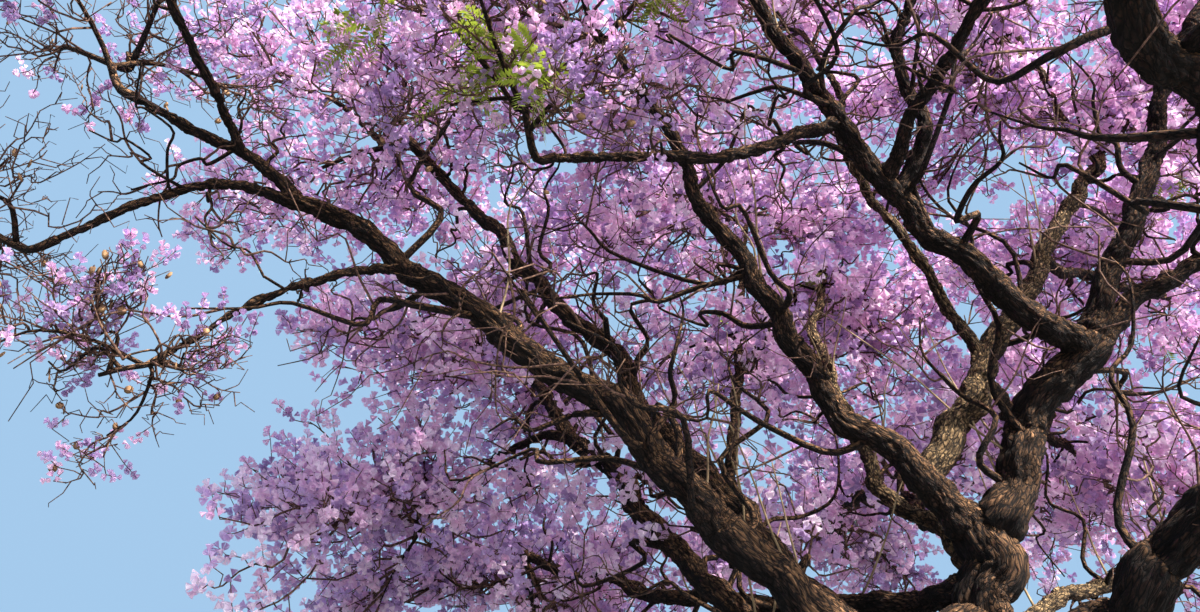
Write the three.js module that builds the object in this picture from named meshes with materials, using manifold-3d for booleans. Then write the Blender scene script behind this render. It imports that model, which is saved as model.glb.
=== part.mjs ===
// A large old jacaranda in full bloom, standing on level ground.
// A short leaning trunk with a root flare forks low into two stems. Long crooked boughs rise and spread
// from them, and each bough ends in an airy mass of twigs tipped with sprays of lilac blossom.
// Millimetres, +Z up, origin at the middle of the flat cut at ground level. The long left bough runs
// towards -X.
import * as THREE from "three";
import { mergeVertices } from "three/addons/utils/BufferGeometryUtils.js";
import Module from "manifold-3d";

const wasm = await Module();
wasm.setup();

// Trunk
const TRUNK_HEIGHT = 2250; // ground to the fork
const TRUNK_RADIUS = 408; // low on the trunk, above the root flare
const TRUNK_TOP_RADIUS = 330;
const TRUNK_LEAN = [-70, 20]; // how far the fork stands from above the foot, along X and Y
const TRUNK_BOW = [35, -20, 0];
const TRUNK_SIDES = 16;
const TRUNK_RINGS = 8;
const TRUNK_KINK = 5;
const TRUNK_SEED = 1;
const FLARE_RADIUS = 230; // what the root flare adds at the ground
const FLARE_HEIGHT = 420; // over which the flare falls to a third
const ROOT_LOBES = [5, 3]; // main roots round the flare, and a slower swell that makes them uneven
const LOBE_DEPTH = [0.1, 0.06]; // of the radius at the ground

// Limbs
const NODE_SPACING = 640; // between the kinks of a limb
const LEAST_PIECES = 3; // from kink to kink, on a short limb
const TAPER_POWER = 0.85; // below 1 a limb loses girth sooner
const COLLAR_SHARE = 0.3; // swelling of a limb where it leaves its parent
const COLLAR_LIMIT = 0.95; // of the parent's girth
const ROOT_SHARE = 0.78; // of its girth that a limb has on its parent's centreline
const STOUT = 120; // base radius above which a limb is rounder
const STOUT_SIDES = 7;
const SLIM_SIDES = 5;
const SEAT = 0.3; // clearance between a mass's stem and its bough's tip
const SKIN = 0.4; // that a limb cuts away round itself, for the same clearance on its flat facets
const SAMPLE_SPACING = 120; // of the places on limbs that twigs are kept clear of

// Twigs and sprays inside a mass
const BRANCHES = 5; // that leave the stem of each mass
const BRANCH_SPREAD = [0.3, 0.98]; // share of the stem's length where the first and last leave
const BRANCH_RISE = [-0.45, 0.95]; // sine of the steepest way down and up that a branch takes
const BRANCH_SHARE = 0.7; // of the way to the edge of the mass
const BRANCH_RADII = [28, 18];
const BRANCH_STOUTEST = 0.65; // of the stem's girth
const BRANCH_SIDES = 3;
const BRANCH_PIECES = 3; // from kink to kink, here and on the stem
const BRANCH_RINGS = 2;
const BRANCH_TESTS = [0.5, 0.75, 1]; // shares of its length that have to be clear
const BRANCH_END = 0.6; // share of its length after which it has the direction of its end
const BRANCH_BOW = [0, 0, 90];
const BRANCH_KINK = 110;
const STEM_LEAD = 150; // that a stem goes straight on from its bough
const STEM_SHORT = 0.15; // share of the way from the middle of the mass at which the stem ends
const STEM_SIDES = 4;
const STEM_RINGS = 4;
const STEM_SHARE = 0.92; // of the bough's tip
const STEM_TIP_RADIUS = 42;
const STEM_BOW = [0, 0, 60];
const STEM_KINK = 90;
const TWIGS = 15; // that leave each branch
const TWIGS_IN_A_SPRAY = 5; // neighbouring twigs that one solid spray stands for
const LAST_TWIG_SHARE = 0.88; // of the branch's length, where its last twig leaves it
const TWIG_ALONG = 0.55; // how far a twig goes with its branch
const TWIG_OUTWARD = 0.8; // and away from the middle of the mass
const TWIG_SIDEWAYS = 0.6; // and to the side
const TWIG_STEEPNESS = 0.35; // and up or down
const SPRAY_LENGTH = 1200; // in a mass of full reach
const SPRAY_LENGTHS = [0.8, 1.1]; // shares of it that the shortest and longest spray have
const SPRAY_RADIUS = 340;
const SPRAY_WAIST = 0.58; // where along its length a spray is widest
const FULL_REACH = 1800;
const TRIES = 3; // at a direction that is clear
const TURN_ON = 1.9; // radians from one try of a twig to the next
const BRANCH_TURN_ON = 0.5; // and of a branch
const LIMB_CLEARANCE = 60; // that branches and sprays keep from every limb
const TWIG_MARGIN = 40; // that a branch keeps from the next mass
const FACET_TOLERANCE = 5; // to which fused sprays are simplified
const GOLDEN_ANGLE = Math.PI * (3 - Math.sqrt(5));
const FIRST_LIMB_SEED = 11;
const FIRST_MASS_SEED = 101;
const SEEDS_A_MASS = 20;
const [TURN_DRAW, SKIP_DRAW, LENGTH_DRAW, STEEPNESS_DRAW] = [7, 50, 70, 90]; // first number of each draw
const MERGE_WITHIN = 1e-4;

const WOOD = new THREE.MeshStandardMaterial({ color: 0x5a4636, roughness: 0.95, metalness: 0 });
const BLOSSOM = new THREE.MeshStandardMaterial({ color: 0xb58bd6, roughness: 0.8, metalness: 0 });

// Each limb: its parent, where it leaves it as a share of the parent's length, the place of its tip, how
// far its middle bows off the straight line, its radii at base and tip, and how far its kinks stand out.
const LIMBS = [
  ["right_stem", "trunk", 0.84, [630, 100, 3560], [80, 0, 0], 270, 235, 20],
  ["left_bough", "trunk", 0.86, [-4700, -1300, 5650], [0, 0, 480], 205, 78, 60],
  ["left_bough_rising_fork", "left_bough", 0.97, [-5750, -1700, 6250], [0, 0, 60], 62, 42, 60],
  ["left_bough_drooping_fork", "left_bough", 0.96, [-5950, -1750, 4950], [0, 0, 330], 55, 34, 50],
  ["left_bough_low_branch", "left_bough", 0.8, [-5150, -1400, 4300], [0, 0, 130], 52, 26, 60],
  ["left_bough_front_branch", "left_bough_rising_fork", 0.4, [-5150, -3400, 7050], [-150, 0, 0], 45, 32, 90],
  ["second_bough", "trunk", 0.8, [-4300, 1000, 8000], [350, 300, -50], 170, 62, 90],
  ["upright_branch", "second_bough", 0.36, [-650, 1900, 7500], [50, 0, 0], 68, 42, 60],
  ["back_left_bough", "trunk", 0.83, [-2900, 2650, 5800], [-200, 0, -60], 155, 88, 110],
  ["far_left_branch", "back_left_bough", 0.85, [-3750, 2950, 4950], [0, 0, 300], 66, 42, 90],
  ["low_back_bough", "right_stem", 0.7, [-3100, 4000, 4350], [0, 0, -300], 112, 66, 80],
  ["middle_bough", "right_stem", 0.93, [-1950, -800, 7200], [-220, 0, -120], 150, 52, 80],
  ["inner_bough", "right_stem", 0.74, [350, 2500, 7300], [-420, 0, -100], 88, 52, 90],
  ["right_bough", "right_stem", 0.92, [1680, -300, 4950], [-40, 0, 0], 208, 165, 30],
  ["arching_bough", "right_bough", 0.95, [-1450, -2100, 8300], [-300, 0, -520], 138, 52, 60],
  ["zigzag_branch", "arching_bough", 0.42, [700, -1650, 8100], [-100, 0, 0], 80, 42, 170],
  ["near_left_branch", "arching_bough", 0.57, [-2600, -2000, 5450], [0, 0, -120], 66, 36, 80],
  ["near_upper_branch", "arching_bough", 0.45, [900, -3500, 7500], [0, 0, -100], 68, 42, 90],
  ["right_rising_bough", "right_bough", 0.96, [3000, -950, 7800], [0, 0, 0], 125, 72, 80],
  ["right_spreading_bough", "right_bough", 0.93, [4900, -700, 6500], [0, 0, 350], 100, 55, 90],
  ["pale_bough", "middle_bough", 0.14, [3750, 1350, 8850], [0, 0, 0], 145, 62, 70],
  ["pale_bough_side_branch", "pale_bough", 0.78, [2750, 1200, 9900], [0, 0, -60], 58, 38, 80],
  ["heart_branch", "pale_bough", 0.24, [50, 300, 8500], [-250, 0, 60], 68, 40, 110],
  ["low_right_branch", "right_stem", 0.45, [4900, 1950, 5050], [0, 0, -160], 82, 46, 90],
  ["near_bough", "right_stem", 0.3, [1900, -2000, 3700], [150, 0, -150], 200, 178, 50],
  ["near_bough_arch", "near_bough", 0.96, [-1500, -5200, 5500], [350, -50, 450], 176, 100, 40],
  ["near_right_bough", "near_bough", 0.93, [4200, -3900, 5100], [0, 0, 80], 105, 58, 100],
  ["near_front_branch", "near_bough_arch", 0.45, [1500, -5900, 5500], [0, 0, 60], 64, 40, 70],
  ["back_bough", "right_stem", 0.86, [800, 4900, 5100], [0, 0, 250], 102, 58, 110],
  ["back_right_bough", "pale_bough", 0.18, [3500, 3900, 5500], [0, 0, 60], 92, 50, 110],
  ["pale_bough_back_branch", "pale_bough", 0.5, [4600, 2900, 7250], [0, 0, -60], 74, 46, 90],
];

// Each mass: the bough that carries it, its middle, how far it reaches level and up, and how full it is.
const MASSES = [
  ["blossom_left_tip", "left_bough_drooping_fork", [-6850, -1950, 4950], 1250, 950, 0.42],
  ["blossom_left_high", "left_bough_rising_fork", [-6150, -1450, 7050], 1350, 1100, 0.58],
  ["blossom_left_hanging", "left_bough_low_branch", [-5600, -1550, 4000], 850, 700, 0.55],
  ["blossom_near_left_high", "left_bough_front_branch", [-5200, -4200, 7700], 1700, 1250, 0.75],
  ["blossom_left_crest", "second_bough", [-4900, 1400, 8350], 2250, 1700, 0.88],
  ["blossom_heart_back", "upright_branch", [-1250, 2900, 8450], 2400, 1850, 1],
  ["blossom_back_left_high", "back_left_bough", [-3650, 3550, 6900], 2350, 1900, 1],
  ["blossom_far_left", "far_left_branch", [-4550, 3500, 4150], 2050, 1850, 1],
  ["blossom_back_left_low", "low_back_bough", [-3100, 5700, 3900], 2400, 2000, 1],
  ["blossom_middle", "middle_bough", [-2500, -600, 8350], 1950, 1400, 0.92],
  ["blossom_inner", "inner_bough", [-500, 4300, 6850], 2350, 1900, 1],
  ["blossom_arch_tip", "arching_bough", [-1900, -3000, 9200], 1800, 1250, 0.75],
  ["blossom_zigzag_tip", "zigzag_branch", [1200, -2000, 9600], 1700, 1250, 0.75],
  ["blossom_near_left", "near_left_branch", [-3100, -2400, 6000], 1100, 800, 0.6],
  ["blossom_near_high", "near_upper_branch", [1300, -4700, 8000], 1800, 1250, 0.75],
  ["blossom_right_high", "right_rising_bough", [3800, -1500, 9000], 1750, 1250, 0.8],
  ["blossom_right", "right_spreading_bough", [6200, -900, 7200], 1850, 1450, 0.8],
  ["blossom_pale_bough_tip", "pale_bough", [4600, 1800, 9000], 2150, 1600, 1],
  ["blossom_top_right", "pale_bough_side_branch", [2500, 2200, 9650], 2150, 1650, 1],
  ["blossom_top", "heart_branch", [-450, 700, 10000], 1950, 1350, 0.95],
  ["blossom_low_right", "low_right_branch", [5600, 2700, 4900], 2100, 1800, 0.9],
  ["blossom_near_right", "near_right_bough", [5100, -4500, 6000], 1850, 1500, 0.75],
  ["blossom_near_arch", "near_bough_arch", [-2400, -6000, 6100], 1750, 1450, 0.75],
  ["blossom_near_front", "near_front_branch", [1700, -6600, 6000], 1700, 1350, 0.75],
  ["blossom_back", "back_bough", [850, 5900, 4850], 2400, 2000, 1],
  ["blossom_back_right", "back_right_bough", [3600, 5200, 5400], 2350, 2000, 1],
  ["blossom_right_back", "pale_bough_back_branch", [4150, 3900, 8100], 2300, 1800, 1],
];

const { lerp, clamp } = THREE.MathUtils;
const vector = (xyz) => new THREE.Vector3(...xyz);

// A repeatable number from 0 to 1, or from -1 to 1, for each pair of whole numbers.
function chance(seed, index) {
  const x = Math.sin(seed * 127.1 + index * 311.7) * 43758.5453;
  return x - Math.floor(x);
}
const either = (seed, index) => chance(seed, index) * 2 - 1;

// A crooked curve from start to end. Its middle bows by bow, and the points between stand off by up to kink.
function crookedRoute(start, end, bow, kink, pieces, seed) {
  const points = [];
  for (let i = 0; i <= pieces; i++) {
    const t = i / pieces;
    const point = start.clone().lerp(end, t).addScaledVector(bow, 4 * t * (1 - t));
    if (i > 0 && i < pieces) {
      const stray = new THREE.Vector3(either(seed, 3 * i), either(seed, 3 * i + 1), either(seed, 3 * i + 2));
      point.addScaledVector(stray, kink);
    }
    points.push(point);
  }
  return new THREE.CatmullRomCurve3(points, false, "catmullrom", 0.5);
}

// The place at share t of the length on the straight lines between a tube's rings.
function onAxis(route, rings, t) {
  const ring = Math.min(rings - 1, Math.floor(t * rings));
  return route.getPoint(ring / rings).lerp(route.getPoint((ring + 1) / rings), t * rings - ring);
}

// A three.js shape with only its positions, and each corner once.
function bare(geometry) {
  geometry.deleteAttribute("normal");
  geometry.deleteAttribute("uv");
  return mergeVertices(geometry, MERGE_WITHIN);
}

// A closed tube along a route: a cylinder whose rings are carried to the route. radiusAt gives the radius
// from the share of the length and the angle. Level rings keep the trunk's foot flat. A tube with more skin
// stands out by that much on its sides and both ends.
function bentCylinder(route, radiusAt, sides, rings, skin = 0, level = false) {
  const geometry = bare(new THREE.CylinderGeometry(1, 1, 1, sides, rings));
  const frames = route.computeFrenetFrames(rings, false);
  const place = geometry.getAttribute("position");
  for (let i = 0; i < place.count; i++) {
    const ring = Math.round((place.getY(i) + 0.5) * rings);
    const onCentre = Math.hypot(place.getX(i), place.getZ(i)) < 0.5;
    const angle = Math.atan2(place.getX(i), place.getZ(i));
    const radius = onCentre ? 0 : radiusAt(ring / rings, angle) + skin;
    const side = level ? new THREE.Vector3(0, 1, 0) : frames.normals[ring];
    const other = level ? new THREE.Vector3(1, 0, 0) : frames.binormals[ring];
    const point = route
      .getPoint(ring / rings)
      .addScaledVector(side, radius * Math.cos(angle))
      .addScaledVector(other, radius * Math.sin(angle));
    if (ring === 0) point.addScaledVector(route.getTangent(0), -skin);
    if (ring === rings) point.addScaledVector(route.getTangent(1), skin);
    place.setXYZ(i, point.x, point.y, point.z);
  }
  return geometry;
}

// One blunt spray of blossom: an eight-sided spindle, narrow at the root that is sunk in its branch.
function spindle(root, tip, radius) {
  const geometry = bare(new THREE.OctahedronGeometry(1));
  const along = tip.clone().sub(root);
  const way = along.clone().normalize();
  const turn = new THREE.Quaternion().setFromUnitVectors(new THREE.Vector3(0, 1, 0), way);
  const place = geometry.getAttribute("position");
  for (let i = 0; i < place.count; i++) {
    const share = [0, SPRAY_WAIST, 1][Math.round(place.getY(i)) + 1];
    const point = new THREE.Vector3(place.getX(i) * radius, share * along.length(), place.getZ(i) * radius);
    point.applyQuaternion(turn).add(root);
    place.setXYZ(i, point.x, point.y, point.z);
  }
  return geometry;
}

// The solid inside a closed shape, whichever way round its faces were listed.
function solidOf(geometry) {
  const vertProperties = new Float32Array(geometry.getAttribute("position").array);
  const triVerts = new Uint32Array(geometry.index.array);
  const solid = new wasm.Manifold(new wasm.Mesh({ numProp: 3, vertProperties, triVerts }));
  if (solid.volume() > 0) return solid;
  for (let i = 0; i < triVerts.length; i += 3) triVerts.subarray(i, i + 3).reverse();
  return new wasm.Manifold(new wasm.Mesh({ numProp: 3, vertProperties, triVerts }));
}

// The largest closed body of a solid. Loose scraps are dropped, and sealed hollows are filled.
function wholeOf(solid) {
  return solid.decompose().reduce((best, body) => (body.volume() > best.volume() ? body : best));
}

// Whether a solid's skin is still closed once its corners are rounded off to four decimals.
function staysClosed(solid) {
  const { vertProperties, triVerts } = solid.getMesh();
  const corners = [];
  for (const i of triVerts) {
    const xyz = Array.from(vertProperties.slice(3 * i, 3 * i + 3));
    corners.push(xyz.map((x) => x.toFixed(4)).join(" "));
  }
  const uses = new Map();
  for (let i = 0; i < corners.length; i += 3) {
    const [a, b, c] = corners.slice(i, i + 3);
    if (a === b || b === c || c === a) continue;
    for (const edge of [[a, b], [b, c], [c, a]]) {
      const key = edge.sort().join("|");
      uses.set(key, (uses.get(key) ?? 0) + 1);
    }
  }
  return [...uses.values()].every((count) => count === 2);
}

// A mass with one more piece fused on. A piece that stays loose, or would open the skin, is left off.
function fusedWith(whole, piece) {
  const fused = whole.add(piece).simplify(FACET_TOLERANCE);
  const bodies = fused.decompose().filter((body) => body.volume() > 0);
  return bodies.length === 1 && staysClosed(bodies[0]) ? bodies[0] : whole;
}

function meshOf(name, solid, material) {
  const made = solid.getMesh();
  const geometry = new THREE.BufferGeometry();
  geometry.setAttribute("position", new THREE.BufferAttribute(made.vertProperties, 3));
  geometry.setIndex(new THREE.BufferAttribute(made.triVerts, 1));
  geometry.computeVertexNormals();
  const mesh = new THREE.Mesh(geometry, material);
  mesh.name = name;
  return mesh;
}

// The places and radii along a limb that twigs are kept clear of.
function sampled(limb) {
  const steps = Math.ceil(limb.length / SAMPLE_SPACING);
  limb.samples = [];
  for (let i = 0; i <= steps; i++) {
    limb.samples.push({ place: limb.route.getPoint(i / steps), radius: limb.radius(i / steps) });
  }
  return limb;
}

// Trunk: a tapering leaning column with a lobed root flare, on level rings so that its foot is flat.
function trunkRadius(t, angle) {
  const flare = Math.exp((-t * TRUNK_HEIGHT) / FLARE_HEIGHT);
  const mainLobes = LOBE_DEPTH[0] * Math.cos(ROOT_LOBES[0] * angle);
  const swell = mainLobes + LOBE_DEPTH[1] * Math.cos(ROOT_LOBES[1] * angle + 1);
  return (lerp(TRUNK_RADIUS, TRUNK_TOP_RADIUS, t * t) + FLARE_RADIUS * flare) * (1 + flare * swell);
}

function growTrunk() {
  const fork = vector([...TRUNK_LEAN, TRUNK_HEIGHT]);
  const route = crookedRoute(vector([0, 0, 0]), fork, vector(TRUNK_BOW), TRUNK_KINK, TRUNK_RINGS, TRUNK_SEED);
  const columnOf = (skin) => solidOf(bentCylinder(route, trunkRadius, TRUNK_SIDES, TRUNK_RINGS, skin, true));
  const radius = (t) => trunkRadius(t, 0);
  const [solid, cutter] = [columnOf(0), columnOf(SKIN)];
  return sampled({ name: "trunk", route, radius, length: TRUNK_HEIGHT, solid, cutter });
}

// A limb leaves its parent's centreline with a swollen collar and tapers to its tip. What lies inside earlier
// limbs is cut away, clear of their skin.
function growLimb(row, index, limbs) {
  const [name, parentName, at, tip, bow, baseRadius, tipRadius, kink] = row;
  const parent = limbs.find((limb) => limb.name === parentName);
  const start = parent.route.getPoint(at);
  const length = start.distanceTo(vector(tip));
  const pieces = Math.max(LEAST_PIECES, Math.round(length / NODE_SPACING));
  const route = crookedRoute(start, vector(tip), vector(bow), kink, pieces, index + FIRST_LIMB_SEED);
  const buried = parent.radius(at);
  const collar = clamp(COLLAR_LIMIT * buried - baseRadius, 0, COLLAR_SHARE * baseRadius);
  const radius = (t) => {
    const outside = t * length - buried;
    const swelling = collar * Math.exp(-Math.max(0, outside) / baseRadius);
    const rooted = lerp(ROOT_SHARE, 1, clamp(1 + outside / buried, 0, 1));
    return (lerp(baseRadius, tipRadius, t ** TAPER_POWER) + swelling) * rooted;
  };
  const sides = baseRadius > STOUT ? STOUT_SIDES : SLIM_SIDES;
  const tubeOf = (skin) => solidOf(bentCylinder(route, radius, sides, pieces + 1, skin));
  const cut = limbs.reduce((solid, limb) => solid.subtract(limb.cutter), tubeOf(0));
  return sampled({ name, route, radius, length, tipRadius, solid: wholeOf(cut), cutter: tubeOf(SKIN) });
}

function touchesLimb(place, clearance, limbs) {
  return limbs.some((limb) =>
    limb.samples.some((sample) => place.distanceTo(sample.place) < sample.radius + clearance),
  );
}

// How far out a place lies in a mass: 0 at its middle and 1 at its edge.
function outness(mass, place) {
  const level = Math.hypot(place.x - mass.middle.x, place.y - mass.middle.y) / mass.reach;
  return Math.hypot(level, (place.z - mass.middle.z) / mass.rise);
}

// A place is in a mass's own space where it is nearer, for their sizes, to that mass than to others.
function inOwnSpace(mass, place, margin, masses) {
  const own = outness(mass, place);
  return masses.every((other) => other === mass || outness(other, place) - own > (2 * margin) / other.reach);
}

// Where branch number i of a mass ends. Branches are dealt out round the middle by the golden angle, more of
// them above it than below. Each further try turns it on.
function branchEnd(mass, i, attempt) {
  const height = lerp(...BRANCH_RISE, (i + 0.5) / BRANCHES);
  const level = Math.sqrt(1 - height * height);
  const angle = i * GOLDEN_ANGLE + mass.turn + attempt * BRANCH_TURN_ON;
  const way = new THREE.Vector3(level * Math.cos(angle), level * Math.sin(angle), height);
  return way.multiply(mass.extent).multiplyScalar(BRANCH_SHARE).add(mass.middle);
}

// A twig leaves its branch outwards, fanned round the branch by the golden angle, and the last one carries
// the branch on. Each further try turns it on.
function twigWay(mass, foot, branchWay, seed, j, attempt) {
  if (j === TWIGS - 1 && attempt === 0) return branchWay.clone();
  const outward = foot.clone().sub(mass.middle).divide(mass.extent);
  const angle = j * GOLDEN_ANGLE + attempt * TURN_ON;
  const steep = TWIG_STEEPNESS * either(seed, STEEPNESS_DRAW + j);
  const side = new THREE.Vector3(Math.cos(angle), Math.sin(angle), steep);
  const way = branchWay.clone().multiplyScalar(TWIG_ALONG).addScaledVector(outward, TWIG_OUTWARD);
  return way.addScaledVector(side, TWIG_SIDEWAYS).normalize();
}

// Where a spray's tip comes, if the spray keeps to its mass's own space and clear of every limb.
function clearTip(mass, foot, way, length, radius, limbs, masses) {
  const tip = foot.clone().addScaledVector(way, length);
  const waist = foot.clone().lerp(tip, SPRAY_WAIST);
  const clear =
    inOwnSpace(mass, tip, TWIG_MARGIN, masses) &&
    inOwnSpace(mass, waist, radius, masses) &&
    !touchesLimb(tip, LIMB_CLEARANCE, limbs) &&
    !touchesLimb(waist, radius + LIMB_CLEARANCE, limbs) &&
    !touchesLimb(foot.clone().lerp(waist, 0.5), radius / 2 + LIMB_CLEARANCE, limbs);
  return clear ? tip : null;
}

// The stem of a mass goes on from its bough's tip to near the middle of the mass.
function stemRoute(mass) {
  const way = mass.bough.route.getTangent(1);
  const root = mass.bough.route.getPoint(1).addScaledVector(way, SEAT);
  const lead = root.clone().addScaledVector(way, STEM_LEAD);
  const end = mass.middle.clone().lerp(root, STEM_SHORT);
  const crooked = crookedRoute(lead, end, vector(STEM_BOW), STEM_KINK, BRANCH_PIECES, mass.seed);
  return new THREE.CatmullRomCurve3([root, ...crooked.points], false, "catmullrom", 0.5);
}

// The sprays of one branch, each fused on where it finds a clear way.
function growSprays(whole, mass, branch, seed, limbs, masses) {
  const endOf = onAxis(branch, BRANCH_RINGS, 1);
  const branchWay = endOf.sub(onAxis(branch, BRANCH_RINGS, BRANCH_END)).normalize();
  const size = mass.reach / FULL_REACH;
  for (let j = TWIGS_IN_A_SPRAY - 1; j < TWIGS; j += TWIGS_IN_A_SPRAY) {
    if (chance(seed, SKIP_DRAW + j) > mass.fullness) continue;
    const foot = onAxis(branch, BRANCH_RINGS, (LAST_TWIG_SHARE * (j + 1)) / TWIGS);
    const length = SPRAY_LENGTH * size * lerp(...SPRAY_LENGTHS, chance(seed, LENGTH_DRAW + j));
    for (let attempt = 0; attempt < TRIES; attempt++) {
      const way = twigWay(mass, foot, branchWay, seed, j, attempt);
      const tip = clearTip(mass, foot, way, length, SPRAY_RADIUS * size, limbs, masses);
      if (tip) {
        whole = fusedWith(whole, solidOf(spindle(foot, tip, SPRAY_RADIUS * size)));
        break;
      }
    }
  }
  return whole;
}

// The course of branch number i from a place on the stem, where it finds a clear way.
function branchRoute(mass, from, i, seed, limbs, masses) {
  for (let attempt = 0; attempt < TRIES; attempt++) {
    const end = branchEnd(mass, i, attempt);
    const branch = crookedRoute(from, end, vector(BRANCH_BOW), BRANCH_KINK, BRANCH_PIECES, seed);
    const outer = BRANCH_TESTS.map((t) => branch.getPoint(t));
    const clear = outer.every(
      (place) => inOwnSpace(mass, place, TWIG_MARGIN, masses) && !touchesLimb(place, LIMB_CLEARANCE, limbs),
    );
    if (clear) return branch;
  }
  return null;
}

// The stem, branches and sprays of one mass, fused into one solid.
function growMass(mass, limbs, masses) {
  const stem = stemRoute(mass);
  const stemRadius = mass.bough.tipRadius * STEM_SHARE;
  const branchRadius = Math.min(BRANCH_RADII[0], stemRadius * BRANCH_STOUTEST);
  const stemGirth = (t) => lerp(stemRadius, STEM_TIP_RADIUS, t);
  let whole = solidOf(bentCylinder(stem, stemGirth, STEM_SIDES, STEM_RINGS));
  for (let i = 0; i < BRANCHES; i++) {
    const seed = mass.seed * SEEDS_A_MASS + i;
    const from = onAxis(stem, STEM_RINGS, lerp(...BRANCH_SPREAD, (i + 0.5) / BRANCHES));
    const branch = branchRoute(mass, from, i, seed, limbs, masses);
    if (!branch) continue;
    const radius = (t) => lerp(branchRadius, BRANCH_RADII[1], t);
    const fused = fusedWith(whole, solidOf(bentCylinder(branch, radius, BRANCH_SIDES, BRANCH_RINGS)));
    if (fused !== whole) whole = growSprays(fused, mass, branch, seed, limbs, masses);
  }
  return whole;
}

const limbs = [growTrunk()];
LIMBS.forEach((row, index) => limbs.push(growLimb(row, index, limbs)));

const masses = MASSES.map(([name, boughName, middle, reach, rise, fullness], index) => ({
  name,
  bough: limbs.find((limb) => limb.name === boughName),
  middle: vector(middle),
  reach,
  rise,
  extent: new THREE.Vector3(reach, reach, rise),
  fullness,
  seed: index + FIRST_MASS_SEED,
  turn: chance(index + FIRST_MASS_SEED, TURN_DRAW) * 2 * Math.PI,
}));

const tree = new THREE.Group();
for (const limb of limbs) tree.add(meshOf(limb.name, limb.solid, WOOD));
for (const mass of masses) tree.add(meshOf(mass.name, growMass(mass, limbs, masses), BLOSSOM));

export default tree;
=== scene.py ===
import math

import bmesh
import bpy
import numpy as np
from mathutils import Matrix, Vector, noise


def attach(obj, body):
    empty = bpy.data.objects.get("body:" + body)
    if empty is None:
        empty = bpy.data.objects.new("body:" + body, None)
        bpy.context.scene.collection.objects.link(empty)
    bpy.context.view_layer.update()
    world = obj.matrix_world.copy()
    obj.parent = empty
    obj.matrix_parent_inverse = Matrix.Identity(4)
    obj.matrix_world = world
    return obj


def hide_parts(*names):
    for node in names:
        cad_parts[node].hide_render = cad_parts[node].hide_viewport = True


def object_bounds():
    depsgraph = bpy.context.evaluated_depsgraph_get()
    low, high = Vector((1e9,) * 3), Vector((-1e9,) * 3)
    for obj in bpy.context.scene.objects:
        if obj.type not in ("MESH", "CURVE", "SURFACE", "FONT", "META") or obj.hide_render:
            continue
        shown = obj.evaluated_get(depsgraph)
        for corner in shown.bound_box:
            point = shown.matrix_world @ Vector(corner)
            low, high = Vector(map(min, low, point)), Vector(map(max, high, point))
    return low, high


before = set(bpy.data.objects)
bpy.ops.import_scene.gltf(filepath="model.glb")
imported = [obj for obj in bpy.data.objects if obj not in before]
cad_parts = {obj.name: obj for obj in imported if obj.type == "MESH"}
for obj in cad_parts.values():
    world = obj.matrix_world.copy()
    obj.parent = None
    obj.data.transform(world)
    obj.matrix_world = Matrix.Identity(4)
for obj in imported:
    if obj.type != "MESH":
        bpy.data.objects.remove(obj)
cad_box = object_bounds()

# Viewpoint
# The tree is seen from the ground beside it, by someone who stands under the edge of its spread and looks
# up into the boughs.
PHOTO_WIDTH = 1200
FOCAL_PIXELS = 940
EYE = (-2.3, -7.0, 1.4)
LOOKS_UP = 30
SENSOR_WIDTH = 36
FAR_CLIP = 1000


def placed(name, data):
    """A new object in the scene."""
    made = bpy.data.objects.new(name, data)
    bpy.context.scene.collection.objects.link(made)
    return made


viewpoint = placed("viewpoint", bpy.data.cameras.new("viewpoint"))
viewpoint.data.sensor_width = SENSOR_WIDTH
viewpoint.data.lens = SENSOR_WIDTH * FOCAL_PIXELS / PHOTO_WIDTH
viewpoint.data.clip_end = FAR_CLIP
viewpoint.location = EYE
viewpoint.rotation_euler = (math.radians(90 + LOOKS_UP), 0, 0)
bpy.context.scene.camera = viewpoint

# Growth of the trunk and limbs
# The trunk is a short leaning column with a lobed root flare. Each limb leaves its parent with a swollen
# collar and runs crookedly to its tip, as it has grown from bud to bud. The tables of limbs and of masses
# are in millimetres, and all else is in metres.
MM = 0.001
TRUNK_HEIGHT = 2.25
TRUNK_RADII = (0.408, 0.33)
TRUNK_LEAN = (-0.07, 0.02)
TRUNK_BOW = (0.035, -0.02, 0)
TRUNK_PIECES = 8
TRUNK_KINK = 0.005
TRUNK_SEED = 1
FLARE_RADIUS = 0.23
FLARE_HEIGHT = 0.42
ROOT_LOBES = ((5, 0.1, 0), (3, 0.06, 1))
NODE_SPACING = 0.64
LEAST_PIECES = 3
TAPER_POWER = 0.85
COLLAR_SHARE = 0.3
COLLAR_LIMIT = 0.95
ROOT_SHARE = 0.78
FIRST_LIMB_SEED = 11
SHUFFLE = (127.1, 311.7, 43758.5453)  # scatters the values of chance

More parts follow.
